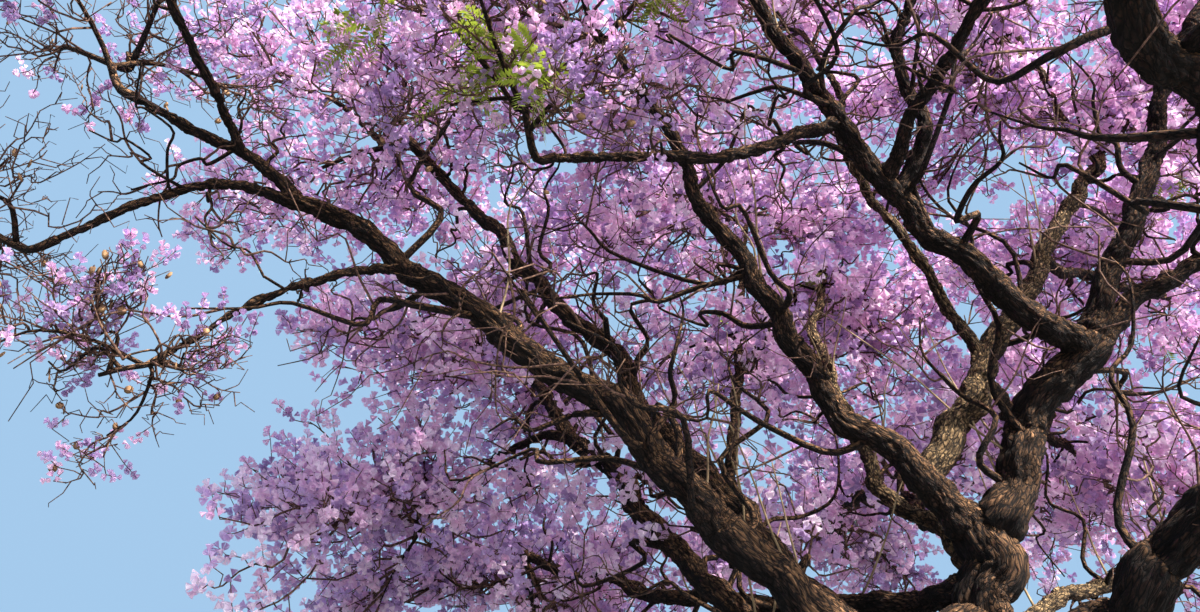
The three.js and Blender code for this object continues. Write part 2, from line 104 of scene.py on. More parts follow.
# Each limb: its parent, where it leaves it as a share of the parent's length, the place of its tip, how
# far its middle bows off the straight line, its radii at base and tip, and how far its kinks stand out.
LIMBS = [
    ("right_stem", "trunk", 0.84, (630, 100, 3560), (80, 0, 0), 270, 235, 20),
    ("left_bough", "trunk", 0.86, (-4700, -1300, 5650), (0, 0, 480), 205, 78, 60),
    ("left_bough_rising_fork", "left_bough", 0.97, (-5750, -1700, 6250), (0, 0, 60), 62, 42, 60),
    ("left_bough_drooping_fork", "left_bough", 0.96, (-5950, -1750, 4950), (0, 0, 330), 55, 34, 50),
    ("left_bough_low_branch", "left_bough", 0.8, (-5150, -1400, 4300), (0, 0, 130), 52, 26, 60),
    ("left_bough_front_branch", "left_bough_rising_fork", 0.4,
     (-5150, -3400, 7050), (-150, 0, 0), 45, 32, 90),
    ("second_bough", "trunk", 0.8, (-4300, 1000, 8000), (350, 300, -50), 170, 62, 90),
    ("upright_branch", "second_bough", 0.36, (-650, 1900, 7500), (50, 0, 0), 68, 42, 60),
    ("back_left_bough", "trunk", 0.83, (-2900, 2650, 5800), (-200, 0, -60), 155, 88, 110),
    ("far_left_branch", "back_left_bough", 0.85, (-3750, 2950, 4950), (0, 0, 300), 66, 42, 90),
    ("low_back_bough", "right_stem", 0.7, (-3100, 4000, 4350), (0, 0, -300), 112, 66, 80),
    ("middle_bough", "right_stem", 0.93, (-1950, -800, 7200), (-220, 0, -120), 150, 52, 80),
    ("inner_bough", "right_stem", 0.74, (350, 2500, 7300), (-420, 0, -100), 88, 52, 90),
    ("right_bough", "right_stem", 0.92, (1680, -300, 4950), (-40, 0, 0), 208, 165, 30),
    ("arching_bough", "right_bough", 0.95, (-1450, -2100, 8300), (-300, 0, -520), 138, 52, 60),
    ("zigzag_branch", "arching_bough", 0.42, (700, -1650, 8100), (-100, 0, 0), 80, 42, 170),
    ("near_left_branch", "arching_bough", 0.57, (-2600, -2000, 5450), (0, 0, -120), 66, 36, 80),
    ("near_upper_branch", "arching_bough", 0.45, (900, -3500, 7500), (0, 0, -100), 68, 42, 90),
    ("right_rising_bough", "right_bough", 0.96, (3000, -950, 7800), (0, 0, 0), 125, 72, 80),
    ("right_spreading_bough", "right_bough", 0.93, (4900, -700, 6500), (0, 0, 350), 100, 55, 90),
    ("pale_bough", "middle_bough", 0.14, (3750, 1350, 8850), (0, 0, 0), 145, 62, 70),
    ("pale_bough_side_branch", "pale_bough", 0.78, (2750, 1200, 9900), (0, 0, -60), 58, 38, 80),
    ("heart_branch", "pale_bough", 0.24, (50, 300, 8500), (-250, 0, 60), 68, 40, 110),
    ("low_right_branch", "right_stem", 0.45, (4900, 1950, 5050), (0, 0, -160), 82, 46, 90),
    ("near_bough", "right_stem", 0.3, (1900, -2000, 3700), (150, 0, -150), 200, 178, 50),
    ("near_bough_arch", "near_bough", 0.96, (-1500, -5200, 5500), (350, -50, 450), 176, 100, 40),
    ("near_right_bough", "near_bough", 0.93, (4200, -3900, 5100), (0, 0, 80), 105, 58, 100),
    ("near_front_branch", "near_bough_arch", 0.45, (1500, -5900, 5500), (0, 0, 60), 64, 40, 70),
    ("back_bough", "right_stem", 0.86, (800, 4900, 5100), (0, 0, 250), 102, 58, 110),
    ("back_right_bough", "pale_bough", 0.18, (3500, 3900, 5500), (0, 0, 60), 92, 50, 110),
    ("pale_bough_back_branch", "pale_bough", 0.5, (4600, 2900, 7250), (0, 0, -60), 74, 46, 90),
]


def chance(seed, index):
    """A repeatable number from 0 to 1 for each pair of whole numbers."""
    x = math.sin(seed * SHUFFLE[0] + index * SHUFFLE[1]) * SHUFFLE[2]
    return x - math.floor(x)


def either(seed, index):
    return chance(seed, index) * 2 - 1


def crooked_points(start, end, bow, kink, pieces, seed):
    """Points from start to end. Their middle bows by bow, and those between stand off by up to kink."""
    t = np.arange(pieces + 1)[:, None] / pieces
    points = start + (end - start) * t + bow * (4 * t * (1 - t))
    for i in range(1, pieces):
        points[i] += kink * np.array([either(seed, 3 * i + axis) for axis in range(3)])
    return points


def along(points, t):
    """Places at shares t of the smooth curve through the points."""
    ends = np.vstack([2 * points[0] - points[1], points, 2 * points[-1] - points[-2]])
    at = np.atleast_1d(np.asarray(t, float)) * (len(points) - 1)
    piece = np.minimum(at.astype(int), len(points) - 2)
    w = (at - piece)[:, None]
    a, b, c, d = (ends[piece + k] for k in range(4))
    lean_b, lean_c = (c - a) / 2, (d - b) / 2
    cubed = 2 * b - 2 * c + lean_b + lean_c
    squared = 3 * c - 3 * b - 2 * lean_b - lean_c
    return b + lean_b * w + squared * w**2 + cubed * w**3


def unit(vectors):
    return vectors / np.linalg.norm(vectors, axis=-1, keepdims=True)


def trunk_girth(t, angle=0.0):
    flare = np.exp(-t * TRUNK_HEIGHT / FLARE_HEIGHT)
    lobes = sum(depth * np.cos(count * angle + turn) for count, depth, turn in ROOT_LOBES)
    column = TRUNK_RADII[0] + (TRUNK_RADII[1] - TRUNK_RADII[0]) * t * t
    return (column + FLARE_RADIUS * flare) * (1 + flare * lobes)


def limb_girth(length, buried, base, tip):
    collar = min(max(COLLAR_LIMIT * buried - base, 0), COLLAR_SHARE * base)

    def girth(t, angle=0.0):
        outside = t * length - buried
        swelling = collar * np.exp(-np.maximum(0, outside) / base)
        rooted = ROOT_SHARE + (1 - ROOT_SHARE) * np.clip(1 + outside / buried, 0, 1)
        return (base + (tip - base) * t**TAPER_POWER + swelling) * rooted

    return girth


fork = np.array([*TRUNK_LEAN, TRUNK_HEIGHT])
trunk_points = crooked_points(np.zeros(3), fork, np.array(TRUNK_BOW), TRUNK_KINK, TRUNK_PIECES, TRUNK_SEED)
limbs = {"trunk": {"points": trunk_points, "girth": trunk_girth, "length": TRUNK_HEIGHT}}
for index, (name, parent_name, at, tip, bow, base_radius, tip_radius, kink) in enumerate(LIMBS):
    parent = limbs[parent_name]
    start = along(parent["points"], at)[0]
    end = np.array(tip) * MM
    length = float(np.linalg.norm(end - start))
    pieces = max(LEAST_PIECES, math.floor(length / NODE_SPACING + 0.5))
    points = crooked_points(start, end, np.array(bow) * MM, kink * MM, pieces, index + FIRST_LIMB_SEED)
    girth = limb_girth(length, float(parent["girth"](at)), base_radius * MM, tip_radius * MM)
    limbs[name] = {"points": points, "girth": girth, "length": length}

# Bark of the trunk and limbs
# Old jacaranda bark is grey-brown and dry. It splits into narrow interlacing plates that run with the limb,
# finer on the thinner limbs, and the wood under it swells into lumps where side shoots have died.
PLATE_SHARE = 0.36  # width of a plate, of the limb's radius
PLATE_WIDTHS = (0.034, 0.066)
PLATE_LENGTH = 2.0  # of its width
PLATE_STRAY = 0.5
FURROW_SHARPNESS = 0.16
FURROW_DEPTH = 0.4  # of a plate's width
UNEVENNESS = 0.5
LUMP_SHARE = 0.22  # of the limb's radius
LUMP_SPACING = 1.9
SETTLED = 0.88  # of the limb's radius, from which the relief rises
CROOK_SHARE = 0.75  # of the limb's radius, that its middle strays from side to side
CROOK_SPACING = 0.36
CROOK_SHIFT = 7  # by the limb's length, so that no two limbs stray alike
CROOK_FADE = 8
CELLS_A_PLATE = 3
CELL_LENGTH = 1.7  # of its width
LEAST_SIDES = 12
GIRTH_SAMPLES = (0.1, 1, 10)
GRAIN_SHIFT = 10
STRAY_FINENESS = 0.8
UNEVEN_FINENESS = 0.7
FLAT_FOOT = 0.12  # height over which the relief fades towards the ground
NOISE_SHIFTS = np.array(((0, 0, 0), (31.4, 5.2, 0), (8.3, 47.2, 12.9)))
GRID_HALF = 0.5
SAME_PLACE = 1e-5
STEEP = 0.8  # rise from which a direction counts as upright


def directions(places):
    """The way of a curve at each of its places."""
    return unit(np.gradient(places, axis=0))


def carried_sides(ways):
    """A sideways direction at each place of a curve, carried along it without twist."""
    side = np.cross(ways[0], (0.0, 0.0, 1.0) if abs(ways[0][2]) < STEEP else (0.0, 1.0, 0.0))
    sides = []
    for way in ways:
        side = side - way * np.dot(side, way)
        side = side / np.linalg.norm(side)
        sides.append(side)
    return np.array(sides)


def smooth_noise(places):
    """A smooth random value from -1 to 1 at each place."""
    return np.array([noise.noise(Vector(place)) for place in places])


def strays(places):
    """Three such values at each place."""
    return np.stack([smooth_noise(places + shift) for shift in NOISE_SHIFTS], 1)


def crooks(limb, t):
    """How far a limb's middle strays at each share of its length: not at its ends, and most half way."""
    shift = CROOK_SHIFT * limb["length"]
    stray = strays(np.array([(0, shift, s * limb["length"] / CROOK_SPACING) for s in t]))
    fade = np.clip(CROOK_FADE * t * (1 - t), 0, 1)
    return stray * (CROOK_SHARE * fade * limb["girth"](t))[:, None]


def rolled_limb(name, limb):
    """A closed tube with the relief of bark: a flat grid rolled round the limb's curve."""
    mean = float(np.mean(limb["girth"](np.linspace(*GIRTH_SAMPLES))))
    plate = min(max(PLATE_SHARE * mean, PLATE_WIDTHS[0]), PLATE_WIDTHS[1])
    cell = plate / CELLS_A_PLATE
    sides = max(LEAST_SIDES, round(2 * math.pi * mean / cell))
    rings = round(limb["length"] / (cell * CELL_LENGTH))
    tube = bmesh.new()
    bmesh.ops.create_grid(tube, x_segments=rings, y_segments=sides, size=GRID_HALF)
    made = bpy.data.meshes.new(name + "_bark")
    tube.to_mesh(made)
    flat = np.empty(len(made.vertices) * 3)
    made.vertices.foreach_get("co", flat)
    flat = flat.reshape(-1, 3)
    ring = np.rint((flat[:, 0] + GRID_HALF) * rings).astype(int)
    angle = np.rint((flat[:, 1] + GRID_HALF) * sides) % sides * (2 * math.pi / sides)

    t = np.linspace(0, 1, rings + 1)
    centres = along(limb["points"], t)
    if name == "trunk":
        side, other = np.array([[0.0, 1, 0]] * (rings + 1)), np.array([[1.0, 0, 0]] * (rings + 1))
    else:
        centres = centres + crooks(limb, t)
        ways = directions(centres)
        side = carried_sides(ways)
        other = np.cross(ways, side)
    out = side[ring] * np.cos(angle)[:, None] + other[ring] * np.sin(angle)[:, None]
    radius = limb["girth"](t[ring], angle)
    travelled = t[ring] * limb["length"]

    shift = GRAIN_SHIFT * len(made.name)
    grain = np.stack([radius * np.cos(angle), radius * np.sin(angle), travelled + shift], 1)
    fine = grain / plate * (1, 1, 1 / PLATE_LENGTH)
    stray = strays(fine * STRAY_FINENESS)
    nearest = np.array([noise.voronoi(Vector(p))[0][:2] for p in fine + stray * PLATE_STRAY])
    furrow = np.exp(-(((nearest[:, 1] - nearest[:, 0]) / FURROW_SHARPNESS) ** 2))
    lump = smooth_noise(grain / (mean * LUMP_SPACING))
    uneven = smooth_noise(fine * UNEVEN_FINENESS)
    height = radius * LUMP_SHARE * lump + plate * (UNEVENNESS * uneven - FURROW_DEPTH * furrow)
    if name == "trunk":
        height = height * np.clip(travelled / FLAT_FOOT, 0, 1)
    places = centres[ring] + out * (radius * SETTLED + height)[:, None]
    made.vertices.foreach_set("co", places.ravel())
    made.attributes.new("grain", "FLOAT_VECTOR", "POINT").data.foreach_set("vector", grain.ravel())
    made.attributes.new("furrow", "FLOAT", "POINT").data.foreach_set("value", furrow)

    tube.clear()
    tube.from_mesh(made)
    bmesh.ops.remove_doubles(tube, verts=tube.verts, dist=SAME_PLACE)
    rims = [edge for edge in tube.edges if edge.is_boundary]
    bmesh.ops.holes_fill(tube, edges=rims, sides=0)
    bmesh.ops.recalc_face_normals(tube, faces=tube.faces)
    for face in tube.faces:
        face.smooth = len(face.verts) == 4
    tube.to_mesh(made)
    tube.free()
    return made


def linear(hex_colour):
    """An sRGB hex value as linear red, green, blue and alpha."""
    parts = [int(hex_colour[i : i + 2], 16) / 255 for i in (1, 3, 5)]
    return (*[c / 12.92 if c <= 0.04045 else ((c + 0.055) / 1.055) ** 2.4 for c in parts], 1.0)


def add_node(tree, kind, inputs=None, **settings):
    """One node with its settings, and its inputs set to a value or linked to a socket."""
    made = tree.nodes.new("ShaderNode" + kind)
    for key, value in settings.items():
        setattr(made, key, value)
    for key, value in (inputs or {}).items():
        if isinstance(value, bpy.types.NodeSocket):
            tree.links.new(value, made.inputs[key])
        else:
            made.inputs[key].default_value = value
    return made


def new_material(name):
    material = bpy.data.materials.new(name)
    material.use_nodes = True
    material.node_tree.nodes.clear()
    return material, material.node_tree


def ramp(tree, factor, shares, colours):
    """A colour ramp through hex colours, each at its share of the factor."""
    made = add_node(tree, "ValToRGB", {"Fac": factor})
    stops = made.color_ramp.elements
    stops.remove(stops[1])
    stops[0].position = shares[0]
    stops[0].color = linear(colours[0])
    for share, colour in zip(shares[1:], colours[1:]):
        stops.new(share).color = linear(colour)
    return made.outputs["Color"]


def spread_out(tree, value, low, high, floor=0.0, ceiling=1.0):
    """A value whose range from low to high is spread from floor to ceiling and cut off there."""
    limits = {"Value": value, "From Min": low, "From Max": high, "To Min": floor, "To Max": ceiling}
    return add_node(tree, "MapRange", limits).outputs["Result"]


def noise_texture(tree, place, scale, detail, roughness=0.5):
    inputs = {"Vector": place, "Scale": scale, "Detail": detail, "Roughness": roughness}
    return add_node(tree, "TexNoise", inputs).outputs


def worked_out(tree, kind, operation, *values):
    """The outputs of a node that does one operation on these values."""
    return add_node(tree, kind + "Math", dict(enumerate(values)), operation=operation).outputs


def blended(tree, factor, first, second):
    return add_node(tree, "Mix", {"Factor": factor, 6: first, 7: second}, data_type="RGBA").outputs[2]


def solid_surface(tree, colour, roughness, **inputs):
    shader = add_node(tree, "BsdfPrincipled", {"Base Color": colour, "Roughness": roughness, **inputs})
    add_node(tree, "OutputMaterial", {"Surface": shader.outputs[0]})


def grained_surface(tree, colour, height, strength, distance, roughness, specular):
    """A surface whose grain stands up by the height times the distance."""
    bump = add_node(tree, "Bump", {"Height": height, "Strength": strength, "Distance": distance})
    inputs = {"Normal": bump.outputs[0], "Specular IOR Level": specular}
    solid_surface(tree, colour, roughness, **inputs)


BARK_SCALE = (1, 1, 0.45)  # the pattern is drawn out along the limb
PLATES_A_METRE = 34
# Scale, detail and roughness of the patterns that bend the cracks, streak the plates and vary the tone.
BENDS = (22, 5)
STREAKS = (40, 6, 0.7)
PATCHES = (5, 6, 0.65)
BEND_SIZE = (0.055, 0.055, 0.055)
CRACK_EDGES = (0.03, 0.2)
STREAK_RANGE = (0.38, 0.58, 0.3)
# A deep furrow of the mesh also takes on the crack colour: painted shade in the furrow.
FURROW_SHADE = -0.85  # share of the height that a deep furrow takes away
# The way to the sun, and the range of facing over which the plates are painted lighter: painted sunlight on
# the sunward side.
SUNNY_WAY = (0.4, -0.52, 0.74)
PAINTED_SUNLIGHT_RANGE = (0.12, 0.8, 0, 0.9)
BARK_SURFACE = (1.0, 0.022, 0.92, 0.25)
BARK_STOPS = (0.35, 0.5, 0.65)


def bark_material(name, plates, crack_colour_and_shade, painted_sunlit_colour):
    """Dry furrowed bark: dark cracks round narrow plates about 30 mm wide, the cracks partly painted shade,
    and the side facing the sun painted lighter as painted sunlight.
    """
    material, tree = new_material(name)
    grain = add_node(tree, "Attribute", attribute_name="grain").outputs["Vector"]
    furrow = add_node(tree, "Attribute", attribute_name="furrow").outputs["Fac"]
    stretched = add_node(tree, "Mapping", {"Vector": grain, "Scale": BARK_SCALE}).outputs[0]
    stray = noise_texture(tree, stretched, *BENDS)["Color"]
    bend = worked_out(tree, "Vector", "MULTIPLY", stray, BEND_SIZE)[0]
    bent = worked_out(tree, "Vector", "ADD", bend, stretched)[0]
    pattern = {"Vector": bent, "Scale": PLATES_A_METRE}
    cracks = add_node(tree, "TexVoronoi", pattern, feature="DISTANCE_TO_EDGE").outputs["Distance"]
    tops = spread_out(tree, cracks, *CRACK_EDGES)
    streaks = spread_out(tree, noise_texture(tree, bent, *STREAKS)["Fac"], *STREAK_RANGE)
    raised = worked_out(tree, "", "MULTIPLY", tops, streaks)[0]
    # Deep furrows of the mesh lower the plates, so they are painted with the crack colour: painted shade.
    open_crack = worked_out(tree, "", "MULTIPLY_ADD", furrow, FURROW_SHADE, 1.0)[0]
    raised = worked_out(tree, "", "MULTIPLY", raised, open_crack)[0]
    place = add_node(tree, "TexCoord").outputs["Object"]
    plate_colour = ramp(tree, noise_texture(tree, place, *PATCHES)["Fac"], BARK_STOPS, plates)
    # Plates that face the sun are blended towards the last colour: painted sunlight.
    normal = add_node(tree, "NewGeometry").outputs["Normal"]
    sunward = worked_out(tree, "Vector", "DOT_PRODUCT", normal, SUNNY_WAY)["Value"]
    plate_colour = blended(tree, spread_out(tree, sunward, *PAINTED_SUNLIGHT_RANGE), plate_colour, linear(painted_sunlit_colour))
    # The cracks take the crack colour: darker bark in them, made near black by painted shade.
    colour = blended(tree, raised, linear(crack_colour_and_shade), plate_colour)
    grained_surface(tree, colour, raised, *BARK_SURFACE)
    return material


# The last colour of each bark is painted sunlight, laid on the side that faces the sun.
dark_bark = bark_material("furrowed_bark", ("#221612", "#36241D", "#573C2F"), "#060303", "#AE825C")
# A paler copy of the same bark for the limbs that stand in the sun: painted sunlight.
sunlit_copy_bark = bark_material("sunlit_bark", ("#523A2C", "#7A5C42", "#A07C58"), "#0E0805", "#DCB684")
SUNLIT_LIMBS = ("pale_bough", "inner_bough", "pale_bough_side_branch", "heart_branch", "low_right_branch")


def grown_piece(made, material, slot_name, *nodes):
    """A mesh as a piece of the rooted tree that stands for these solids."""
    made.materials.append(material)
    piece = placed(made.name, made)
    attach(piece, "root")
    if nodes:
        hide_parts(*nodes)


for name, limb in limbs.items():
    # Limbs in the sun take the paler copy of the bark: painted sunlight.
    bark = sunlit_copy_bark if name in SUNLIT_LIMBS else dark_bark
    grown_piece(rolled_limb(name, limb), bark, "bark", name)

# Stems and branches inside the masses of blossom
# Past its bough's tip a mass has one stem and five branches, which part round the middle of the mass by the
# golden angle. They have thin bark, split only finely.
FIRST_MASS_SEED = 101
SEEDS_A_MASS = 20
TURN_DRAW, SKIP_DRAW, LENGTH_DRAW, STEEPNESS_DRAW = 7, 50, 70, 90
SEAT = 0.0003
BRANCHES = 5
BRANCH_SPREAD = (0.3, 0.98)
BRANCH_RISE = (-0.45, 0.95)
BRANCH_SHARE = 0.7
BRANCH_BOW = np.array([0, 0, 0.09])
BRANCH_KINK = 0.11
BRANCH_PIECES = 3
BRANCH_RADII = (0.042, 0.006)
BRANCH_STOUTEST = 0.65
BRANCH_TESTS = (0.5, 0.75, 1)
BRANCH_END = 0.6
BRANCH_TRIES = 3
BRANCH_TURN_ON = 0.5
STEM_LEAD = 0.15
STEM_SHORT = 0.15
STEM_SHARE = 0.97
STEM_END = 0.014
STEM_BOW = np.array([0, 0, 0.06])
STEM_KINK = 0.09
STEM_MESH = (14, 12)  # rings and sides
BRANCH_MESH = (12, 8)
LAST_STEP = [0.9999, 1]  # shares of a bough's length that give the way of its tip
LIMB_CLEARANCE = 0.06
TWIG_MARGIN = 0.04
SAMPLE_SPACING = 0.12
GOLDEN_ANGLE = math.pi * (3 - math.sqrt(5))

# Each mass: the bough that carries it, its middle, how far it reaches level and up, and how full it is.
MASSES = [
    ("blossom_left_tip", "left_bough_drooping_fork", (-6850, -1950, 4950), 1250, 950, 0.42),
    ("blossom_left_high", "left_bough_rising_fork", (-6150, -1450, 7050), 1350, 1100, 0.58),
    ("blossom_left_hanging", "left_bough_low_branch", (-5600, -1550, 4000), 850, 700, 0.55),
    ("blossom_near_left_high", "left_bough_front_branch", (-5200, -4200, 7700), 1700, 1250, 0.75),
    ("blossom_left_crest", "second_bough", (-4900, 1400, 8350), 2250, 1700, 0.88),
    ("blossom_heart_back", "upright_branch", (-1250, 2900, 8450), 2400, 1850, 1),
    ("blossom_back_left_high", "back_left_bough", (-3650, 3550, 6900), 2350, 1900, 1),
    ("blossom_far_left", "far_left_branch", (-4550, 3500, 4150), 2050, 1850, 1),
    ("blossom_back_left_low", "low_back_bough", (-3100, 5700, 3900), 2400, 2000, 1),
    ("blossom_middle", "middle_bough", (-2500, -600, 8350), 1950, 1400, 0.92),
    ("blossom_inner", "inner_bough", (-500, 4300, 6850), 2350, 1900, 1),
    ("blossom_arch_tip", "arching_bough", (-1900, -3000, 9200), 1800, 1250, 0.75),
    ("blossom_zigzag_tip", "zigzag_branch", (1200, -2000, 9600), 1700, 1250, 0.75),
    ("blossom_near_left", "near_left_branch", (-3100, -2400, 6000), 1100, 800, 0.6),
    ("blossom_near_high", "near_upper_branch", (1300, -4700, 8000), 1800, 1250, 0.75),
    ("blossom_right_high", "right_rising_bough", (3800, -1500, 9000), 1750, 1250, 0.8),
    ("blossom_right", "right_spreading_bough", (6200, -900, 7200), 1850, 1450, 0.8),
    ("blossom_pale_bough_tip", "pale_bough", (4600, 1800, 9000), 2150, 1600, 1),
    ("blossom_top_right", "pale_bough_side_branch", (2500, 2200, 9650), 2150, 1650, 1),
    ("blossom_top", "heart_branch", (-450, 700, 10000), 1950, 1350, 0.95),
    ("blossom_low_right", "low_right_branch", (5600, 2700, 4900), 2100, 1800, 0.9),
    ("blossom_near_right", "near_right_bough", (5100, -4500, 6000), 1850, 1500, 0.75),
    ("blossom_near_arch", "near_bough_arch", (-2400, -6000, 6100), 1750, 1450, 0.75),
    ("blossom_near_front", "near_front_branch", (1700, -6600, 6000), 1700, 1350, 0.75),
    ("blossom_back", "back_bough", (850, 5900, 4850), 2400, 2000, 1),
    ("blossom_back_right", "back_right_bough", (3600, 5200, 5400), 2350, 2000, 1),
    ("blossom_right_back", "pale_bough_back_branch", (4150, 3900, 8100), 2300, 1800, 1),
]
masses = []
for seed, (_, bough, middle, reach, rise, fullness) in enumerate(MASSES, FIRST_MASS_SEED):
    middle, extent = np.array(middle) * MM, np.array((reach, reach, rise)) * MM
    mass = {"bough": limbs[bough], "middle": middle, "extent": extent, "fullness": fullness, "seed": seed}
    masses.append(mass)
middles = np.array([mass["middle"] for mass in masses])
extents = np.array([mass["extent"] for mass in masses])
limb_places, limb_radii = [], []
for limb in limbs.values():
    steps = np.linspace(0, 1, math.ceil(limb["length"] / SAMPLE_SPACING) + 1)
    limb_places.append(along(limb["points"], steps))
    limb_radii.append(limb["girth"](steps))
limb_places, limb_radii = np.vstack(limb_places), np.concatenate(limb_radii)


def in_own_space(own, places, margin):
    """Which places are nearer, for their sizes, to mass number own than to any other mass."""
    outness = np.linalg.norm((places[:, None] - middles) / extents, axis=2)
    lead = outness - outness[:, [own]] - 2 * margin / extents[:, 0]
    lead[:, own] = 1
    return (lead > 0).all(axis=1)


def clear_of_limbs(places, clearance):
    apart = np.linalg.norm(places[:, None] - limb_places, axis=2)
    return (apart > limb_radii + clearance).all(axis=1)


def branch_end(mass, i, attempt):
    height = BRANCH_RISE[0] + (BRANCH_RISE[1] - BRANCH_RISE[0]) * (i + 0.5) / BRANCHES
    level = math.sqrt(1 - height * height)
    turn = chance(mass["seed"], TURN_DRAW) * 2 * math.pi
    angle = i * GOLDEN_ANGLE + turn + attempt * BRANCH_TURN_ON
    way = np.array([level * math.cos(angle), level * math.sin(angle), height])
    return way * mass["extent"] * BRANCH_SHARE + mass["middle"]


stems, branches = [], []
for number, mass in enumerate(masses):
    bough_end = along(mass["bough"]["points"], LAST_STEP)
    way = unit(bough_end[1] - bough_end[0])
    root = bough_end[1] + way * SEAT
    lead = root + way * STEM_LEAD
    end = mass["middle"] + (root - mass["middle"]) * STEM_SHORT
    onward = crooked_points(lead, end, STEM_BOW, STEM_KINK, BRANCH_PIECES, mass["seed"])
    points = np.vstack([root, onward])
    radius = float(mass["bough"]["girth"](1.0)) * STEM_SHARE
    stems.append({"points": points, "radii": (radius, STEM_END)})
    for i in range(BRANCHES):
        seed = mass["seed"] * SEEDS_A_MASS + i
        share = BRANCH_SPREAD[0] + (BRANCH_SPREAD[1] - BRANCH_SPREAD[0]) * (i + 0.5) / BRANCHES
        start = along(points, share)[0]
        radii = (min(BRANCH_RADII[0], radius * BRANCH_STOUTEST), BRANCH_RADII[1])
        for attempt in range(BRANCH_TRIES):
            goal = branch_end(mass, i, attempt)
            course = crooked_points(start, goal, BRANCH_BOW, BRANCH_KINK, BRANCH_PIECES, seed)
            outer = along(course, BRANCH_TESTS)
            if (in_own_space(number, outer, TWIG_MARGIN) & clear_of_limbs(outer, LIMB_CLEARANCE)).all():
                branches.append({"points": course, "radii": radii, "seed": seed, "mass": number})
                break


def mesh_of(name, places, *kinds_of_face):
    """A mesh from an array of places and, for each kind of face, an array of its corners."""
    made = bpy.data.meshes.new(name)
    made.vertices.add(len(places))
    made.vertices.foreach_set("co", np.asarray(places, np.float32).ravel())
    corners = np.concatenate([faces.ravel() for faces in kinds_of_face])
    sizes = np.concatenate([np.full(len(faces), faces.shape[1]) for faces in kinds_of_face])
    made.loops.add(len(corners))
    made.loops.foreach_set("vertex_index", corners.astype(np.int32))
    made.polygons.add(len(sizes))
    made.polygons.foreach_set("loop_start", (np.cumsum(sizes) - sizes).astype(np.int32))
    made.update(calc_edges=True)
    made.validate()
    return made


def joined_tubes(name, centres, radii, sides):
    """Many closed tubes in one mesh. Radii go by tube and ring, centres by tube, ring and axis."""
    count, rings = radii.shape
    ways = unit(np.gradient(centres, axis=1))
    across = unit(np.cross(ways, unit(np.random.default_rng(count).normal(size=(count, 1, 3)))))
    other = np.cross(ways, across)
    angle = np.arange(sides) * (2 * math.pi / sides)
    out = across[:, :, None] * np.cos(angle)[:, None] + other[:, :, None] * np.sin(angle)[:, None]
    places = centres[:, :, None] + out * radii[:, :, None, None]
    index = np.arange(count * rings * sides).reshape(count, rings, sides)
    low, high = index[:, :-1], index[:, 1:]
    quads = np.stack([low, np.roll(low, -1, 2), np.roll(high, -1, 2), high], 3).reshape(-1, 4)
    made = mesh_of(name, places.reshape(-1, 3), quads, index[:, 0, ::-1], index[:, -1])
    smooth = np.arange(len(made.polygons)) < len(quads)
    made.polygons.foreach_set("use_smooth", smooth)
    steps = np.linalg.norm(np.diff(centres, axis=1, prepend=centres[:, :1]), axis=2)
    travelled = np.cumsum(steps, axis=1) + np.arange(count)[:, None]
    level = radii[:, :, None] * np.ones(sides)
    travelled = travelled[:, :, None] * np.ones(sides)
    grain = np.stack([level * np.cos(angle), level * np.sin(angle), travelled], 3)
    made.attributes.new("grain", "FLOAT_VECTOR", "POINT").data.foreach_set("vector", grain.ravel())
    return made


def tapering(name, shoots, rings, sides):
    """Tapering shoots as one mesh."""
    t = np.linspace(0, 1, rings)
    centres = np.array([along(shoot["points"], t) for shoot in shoots])
    radii = np.array([np.interp(t, (0, 1), shoot["radii"]) for shoot in shoots])
    return joined_tubes(name, centres, radii, sides)


TWIG_DETAIL = 4
TWIG_STOPS = (0.3, 0.5, 0.7)
TWIG_SURFACE = (0.5, 0.006, 0.85, 0.3)


def twig_material(name, scale, *colours):
    """Thin smooth bark, whose tone varies every few centimetres."""
    material, tree = new_material(name)
    place = add_node(tree, "TexCoord").outputs["Object"]
    tone = noise_texture(tree, place, scale, TWIG_DETAIL)["Fac"]
    grained_surface(tree, ramp(tree, tone, TWIG_STOPS, colours), tone, *TWIG_SURFACE)
    return material


all_masses = [name for name, *_ in MASSES]
grown_piece(tapering("mass_stems", stems, *STEM_MESH), dark_bark, "bark", *all_masses)
grown_piece(tapering("mass_branches", branches, *BRANCH_MESH), dark_bark, "bark")

# Twigs
# Each branch has fifteen twigs, fanned round it by the golden angle and turned outwards. A twig zigzags
# from bud to bud and carries short crooked twiglets, some of them bare since the last leaves fell.
TWIGS = 15
LAST_TWIG_SHARE = 0.88
TWIG_ALONG = 0.55
TWIG_OUTWARD = 0.8
TWIG_SIDEWAYS = 0.6
TWIG_STEEPNESS = 0.35
TWIG_LENGTH = 1.2
TWIG_LENGTHS = (0.8, 1.1)
TWIG_WAIST = 0.58
TWIG_ROOM = 0.04
LIMB_ROOM = 0.15
FULL_REACH = 1.8
TRIES = 8
TURN_ON = 1.9
TWIG_BOW = 0.11
TWIG_SAGS = (0.2, 1)
TWIG_KINK = 0.11
TWIG_NODES = 7
TWIG_RINGS = 12
TWIG_SIDES = 3
TWIG_GIRTHS = ((0.42, 0.6, 0.75, 1), (0.5, 0.6, 0.85, 1))  # by the fullness of the mass
TWIG_RADII = (0.019, 0.007)
TWIG_TONES = (40, "#2C1E1C", "#50382F", "#8A6A54")  # their scale and colours
TWIGLETS = 10
TWIGLET_STEP = 0.6  # how far into its own stretch of the twig each one stands
TWIGLET_SPAN = 0.92
FIRST_TWIGLET = 0.06
TWIGLET_LEANS = (0.35, 0.75)
TWIGLET_SIDEWAYS = 0.8
TWIGLET_LIFT = (0, 0, 0.45)
TWIGLET_LENGTHS = (0.14, 0.4)
